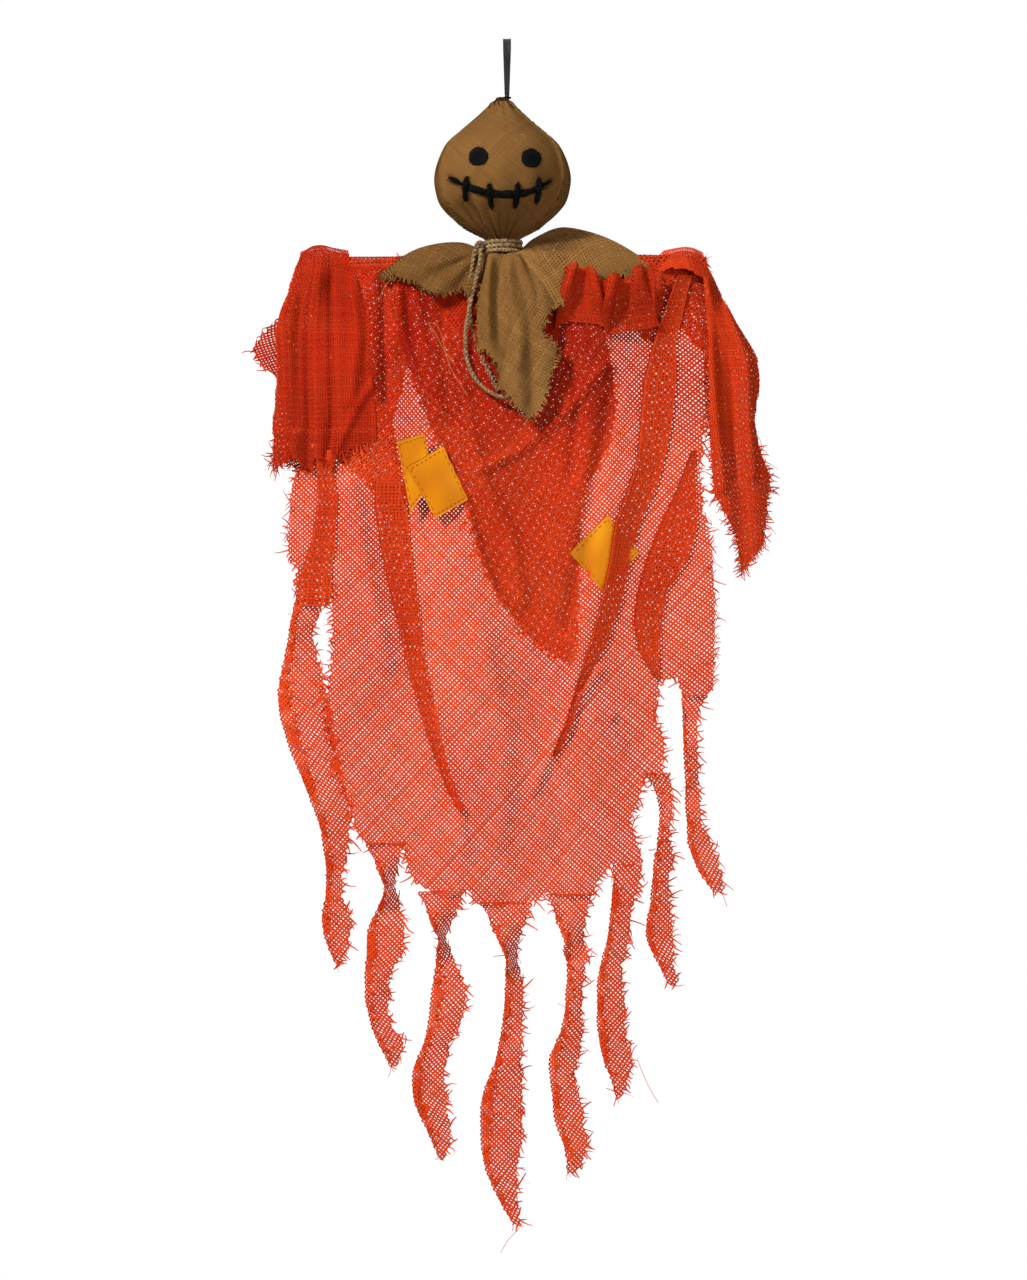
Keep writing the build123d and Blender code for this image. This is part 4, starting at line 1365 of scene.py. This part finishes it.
# Torn tails: X, Z and the width that shows at each station, from the root down
TAILS = {
    "strip_1": [(-153, -435.5, 36), (-163, -466, 20), (-165, -495, 28), (-164, -528, 40), (-156, -562, 40),
                (-147, -593, 34), (-138, -628, 26), (-137, -660, 18), (-139, -682, 13), (-137, -705, 24),
                (-136, -725, 17), (-134, -743, 5)],
    "strip_2": [(-98, -643, 33), (-97, -655, 24), (-94, -678, 8), (-95, -694, 17), (-97, -713, 30),
                (-98, -733, 30), (-103, -747, 22), (-104, -770, 18), (-100, -790, 17), (-93, -802, 22),
                (-90, -824, 6)],
    "strip_3": [(-54, -682, 38), (-53, -698, 26), (-52, -718, 7), (-50, -735, 14), (-46, -757, 28),
                (-50, -785, 26), (-57, -805, 22), (-62, -825, 27), (-61, -850, 28), (-54, -875, 20),
                (-52, -897, 6)],
    "strip_4": [(-1, -690.5, 44), (0, -708, 30), (3, -733, 9), (6, -760, 16), (4, -790, 17), (1, -815, 20),
                (-3, -845, 34), (-4, -873, 35), (-5, -900, 28), (0, -925, 18), (9, -950, 7)],
    "strip_5": [(49, -684, 38), (51, -704, 26), (55, -728, 15), (54, -760, 14), (52, -790, 17),
                (46, -815, 24), (46, -838, 22), (50, -865, 24), (55, -890, 18), (51, -909, 6)],
    "strip_6": [(96, -660.5, 26), (93, -690, 20), (88, -722, 18), (83, -750, 21), (84, -790, 24),
                (88, -815, 24), (90, -833, 14), (90, -848, 6)],
    "strip_7": [(120, -587, 22), (126, -606, 13), (127, -624, 10), (124, -665, 15), (123, -690, 17),
                (122, -718, 22), (129, -743, 14), (132, -759, 5)],
    "strip_8": [(150, -525, 24), (147, -540, 14), (147, -565, 12), (148, -600, 11), (150, -625, 13),
                (155, -645, 20), (163, -666, 20), (169, -684, 6)]}
TAIL_ROOTS = {"strip_1": -436, "strip_2": -641, "strip_3": -682, "strip_4": -691, "strip_5": -685,
              "strip_6": -661, "strip_7": -624, "strip_8": -527}
TAIL_Y = 2.9
TAIL_FRAYED = 0.65       # the share of the threads' ends that fray
TAIL_POINTS = 240        # places down a tail that its width and turn are worked out for
ROLLED = 0.6             # where a tail's left edge rolls over, as a share of its half width
LEAST_SHOWN = 4
NEAR = 40                # how far along a tail its width still counts for a narrow place
TIP_NARROWS = 45         # how far above its end a tail starts to narrow
ROLL_FULL = 25           # how far below the root the roll is at its full size
FULLEST = 22             # a narrow place's cloth, folded or edge on, is no wider than this


def make_tail(node, stations, seed):
    """One torn tail. Where little of it shows, it is turned edge on, and its left edge is rolled over.

    All lengths in here are millimetres until place gives its points.
    """
    rows = np.array(stations, float)
    travelled = travelled_along(rows[:, :2])
    fine = np.linspace(0, travelled[-1], TAIL_POINTS)
    spot = np.interp(fine, travelled, np.arange(len(rows)))
    left = np.minimum(spot.astype(int), len(rows) - 2)
    ends = with_ends(rows)
    middle_x, middle_z, shown = sum(weight[:, None] * ends[left + step]
                                    for step, weight in enumerate(catmull(spot - left))).T
    shows = np.maximum(shown, LEAST_SHOWN)
    near = np.array([shows[np.abs(fine - here) < NEAR].max() for here in fine])
    taper = fade(travelled[-1] - fine, 0, TIP_NARROWS)
    rolled = fade(fine, 0, ROLL_FULL)
    full = np.maximum(shows, np.minimum(np.minimum(0.62 * near, FULLEST) * taper, 2.2 * shows))
    # Edge on where little shows. The turn changes sides down the tail, smoothed over 17 of the fine places.
    twist = np.arccos(np.clip(shows / full, 0.45, 1)) * np.where(np.sin(fine / 60 + seed) > 0, 1, -1)
    twist = np.convolve(np.pad(twist, 8, mode="edge"), np.ones(17) / 17, mode="valid")
    full = full * (1 + 0.25 * rolled)
    widest = full.max()

    def place(u, v):
        down = v / MM
        x, z, cloth, turn, curled = (np.interp(down, fine, values)
                                     for values in (middle_x, middle_z, full, twist, rolled))
        share = np.clip((u / MM - widest / 2) / (cloth / 2), -1.2, 1.2)
        over = np.clip(-ROLLED - share, 0, 1) * curled
        off = (share + 2 * over - 0.2 * curled) * cloth / 2
        lift = 2.4 * np.tanh(6 * over) + 2.0 * np.cos(1.5 * share) * curled
        wave = 3.2 * np.sin(down / 31 + seed) * fade(down, 15, 60)
        y = TAIL_Y - lift + wave + off * np.sin(turn)
        return np.stack([x + off * np.cos(turn), y, z], axis=-1) * MM

    def keep(points, u, v):
        cloth = np.interp(v / MM, fine, full)
        uneven = 2.4 * ripple(v, 0.3 * v, seed, 0.02)
        return (np.abs(u / MM - widest / 2 + uneven * 0.6) <= cloth / 2) & (v / MM < travelled[-1] - 1)

    def at_root(point):
        return point[2] > (rows[0, 1] - 5) * MM

    threads = Threads()
    size = (widest, travelled[-1])
    # The tails' threads are painted lighter, as painted light that shines through the single layer
    area = weave(threads, place, size, keep, GAUZE_PITCH, GAUZE_THREAD, seed, fray=FRAY, frayed=TAIL_FRAYED,
                 bias=GAUZE_BIAS, shade=0.2, whole=at_root)
    for line in LOOSE_THREADS.get(node, ()):
        loose_thread(threads, line)
    piece = threads.piece(node + "_gauze", GAUZE, None, "gauze")
    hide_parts(node)
    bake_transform(piece)
    declare_sheet(piece, size, area)


# Patches: corners X, Z in order round the patch, and the Y that it lies at, or None where it clings
# to the robe
CLINGS = 1.6             # how far in front of the robe a patch that clings to it lies
SATIN_THICK, STITCH_THREAD = 0.5 * MM, 0.22 * MM
PATCH_POINTS = 34        # along each side
SATIN_PATCHES = {
    "patch_left_under": ([(-88, -322), (-66, -316), (-58, -352), (-77, -379)], -8.6),
    "patch_left_over": ([(-80, -343), (-51, -326), (-31, -369), (-57, -384)], -10.2),
    "patch_right": ([(80, -381), (50, -411), (76, -442), (106, -411)], None)}


def make_patch(node, corners, y, robe_y, seed):
    """A square of satin, a little rumpled, with turned edges and running stitches."""
    across = PATCH_POINTS
    a, b, c, d = (np.array(p, float) for p in corners)
    s, t = np.meshgrid(np.linspace(0, 1, across), np.linspace(0, 1, across), indexing="ij")
    flat = (a * ((1 - s) * (1 - t))[..., None] + b * (s * (1 - t))[..., None] + c * (s * t)[..., None]
            + d * ((1 - s) * t)[..., None])
    x, z = flat[..., 0] * MM, flat[..., 1] * MM
    rumple = 0.9 * ripple(x, z, seed, 0.03) + 0.45 * ripple(x, z, seed + 1, 0.012)
    if y is None:
        y = robe_y(x, z) / MM - CLINGS
        rumple = 0.25 * rumple
    edge = np.minimum(np.minimum(s, 1 - s), np.minimum(t, 1 - t))
    ravel = 0.25 * ripple(x * 3, z * 3, seed + 2, 0.01) * (edge < 0.01)
    front = np.stack([x + ravel * MM, (y - rumple - 0.5 * fade(edge, 0, 0.06)) * MM, z + ravel * MM], axis=-1)
    back = front + np.array([0, SATIN_THICK, 0])
    sheet = front.reshape(-1, 3)
    faces = grid_faces(across, across)
    rim = list(range(across)) + [k * across + across - 1 for k in range(1, across)]
    rim += [(across - 1) * across + k for k in range(across - 2, -1, -1)]
    rim += [k * across for k in range(across - 2, 0, -1)]
    verts = np.concatenate([sheet, back.reshape(-1, 3)])
    count = across * across
    shape = faces.tolist() + (faces[:, ::-1] + count).tolist()
    shape += [[p, q, q + count, p + count] for p, q in zip(rim, rim[1:] + rim[:1])]
    stitches = []
    border = np.concatenate([front[2, 2:-2], front[2:-2, -3], front[-3, -3:1:-1], front[-3:1:-1, 2]])
    for start in range(0, len(border) - 2, 4):
        line = border[start:start + 3] - np.array([0, 0.35 * MM, 0])
        stitches.append(tube(line, STITCH_THREAD, corners=5))
    solid, together = joined([(verts, shape)] + stitches)
    tones = np.concatenate([np.tile((0.5 + 0.25 * ripple(x, z, seed + 4, 0.02)).reshape(-1), 2),
                            np.full(len(solid) - len(verts), 0.05)])
    piece = make_piece(node + "_satin", solid, together, SATIN, "torso", np.clip(tones, 0, 1))
    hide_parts(node)


def dress_cad_nodes():
    """Materials for the CAD pieces that stay as they are."""
    for node, material in (("neck_stick", WOOD), ("crossbar", WOOD), ("cross_lashing", JUTE),
                           ("loop_knot", RIBBON), ("tip_eyelet", YARN)):
        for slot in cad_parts[node].material_slots:
            slot.material = material


make_camera()
make_hanging_ribbon()
make_twine("twine_loop", TWINE_LOOP, 1)
make_twine("twine_end", TWINE_END, 2)
make_surroundings()
make_head()
for number, (name, x, z) in enumerate(EYES):
    make_eye(name, x, z, 15 + number)
make_mouth()
make_tip()
make_tie()
make_collar()
robe_y = make_robe_front()
make_robe_layers()
for number, (node, stations) in enumerate(TAILS.items()):
    make_tail(node, stations, 100 + 7 * number)
for number, (node, (corners, y)) in enumerate(SATIN_PATCHES.items()):
    make_patch(node, corners, y, robe_y, 200 + 11 * number)
dress_cad_nodes()
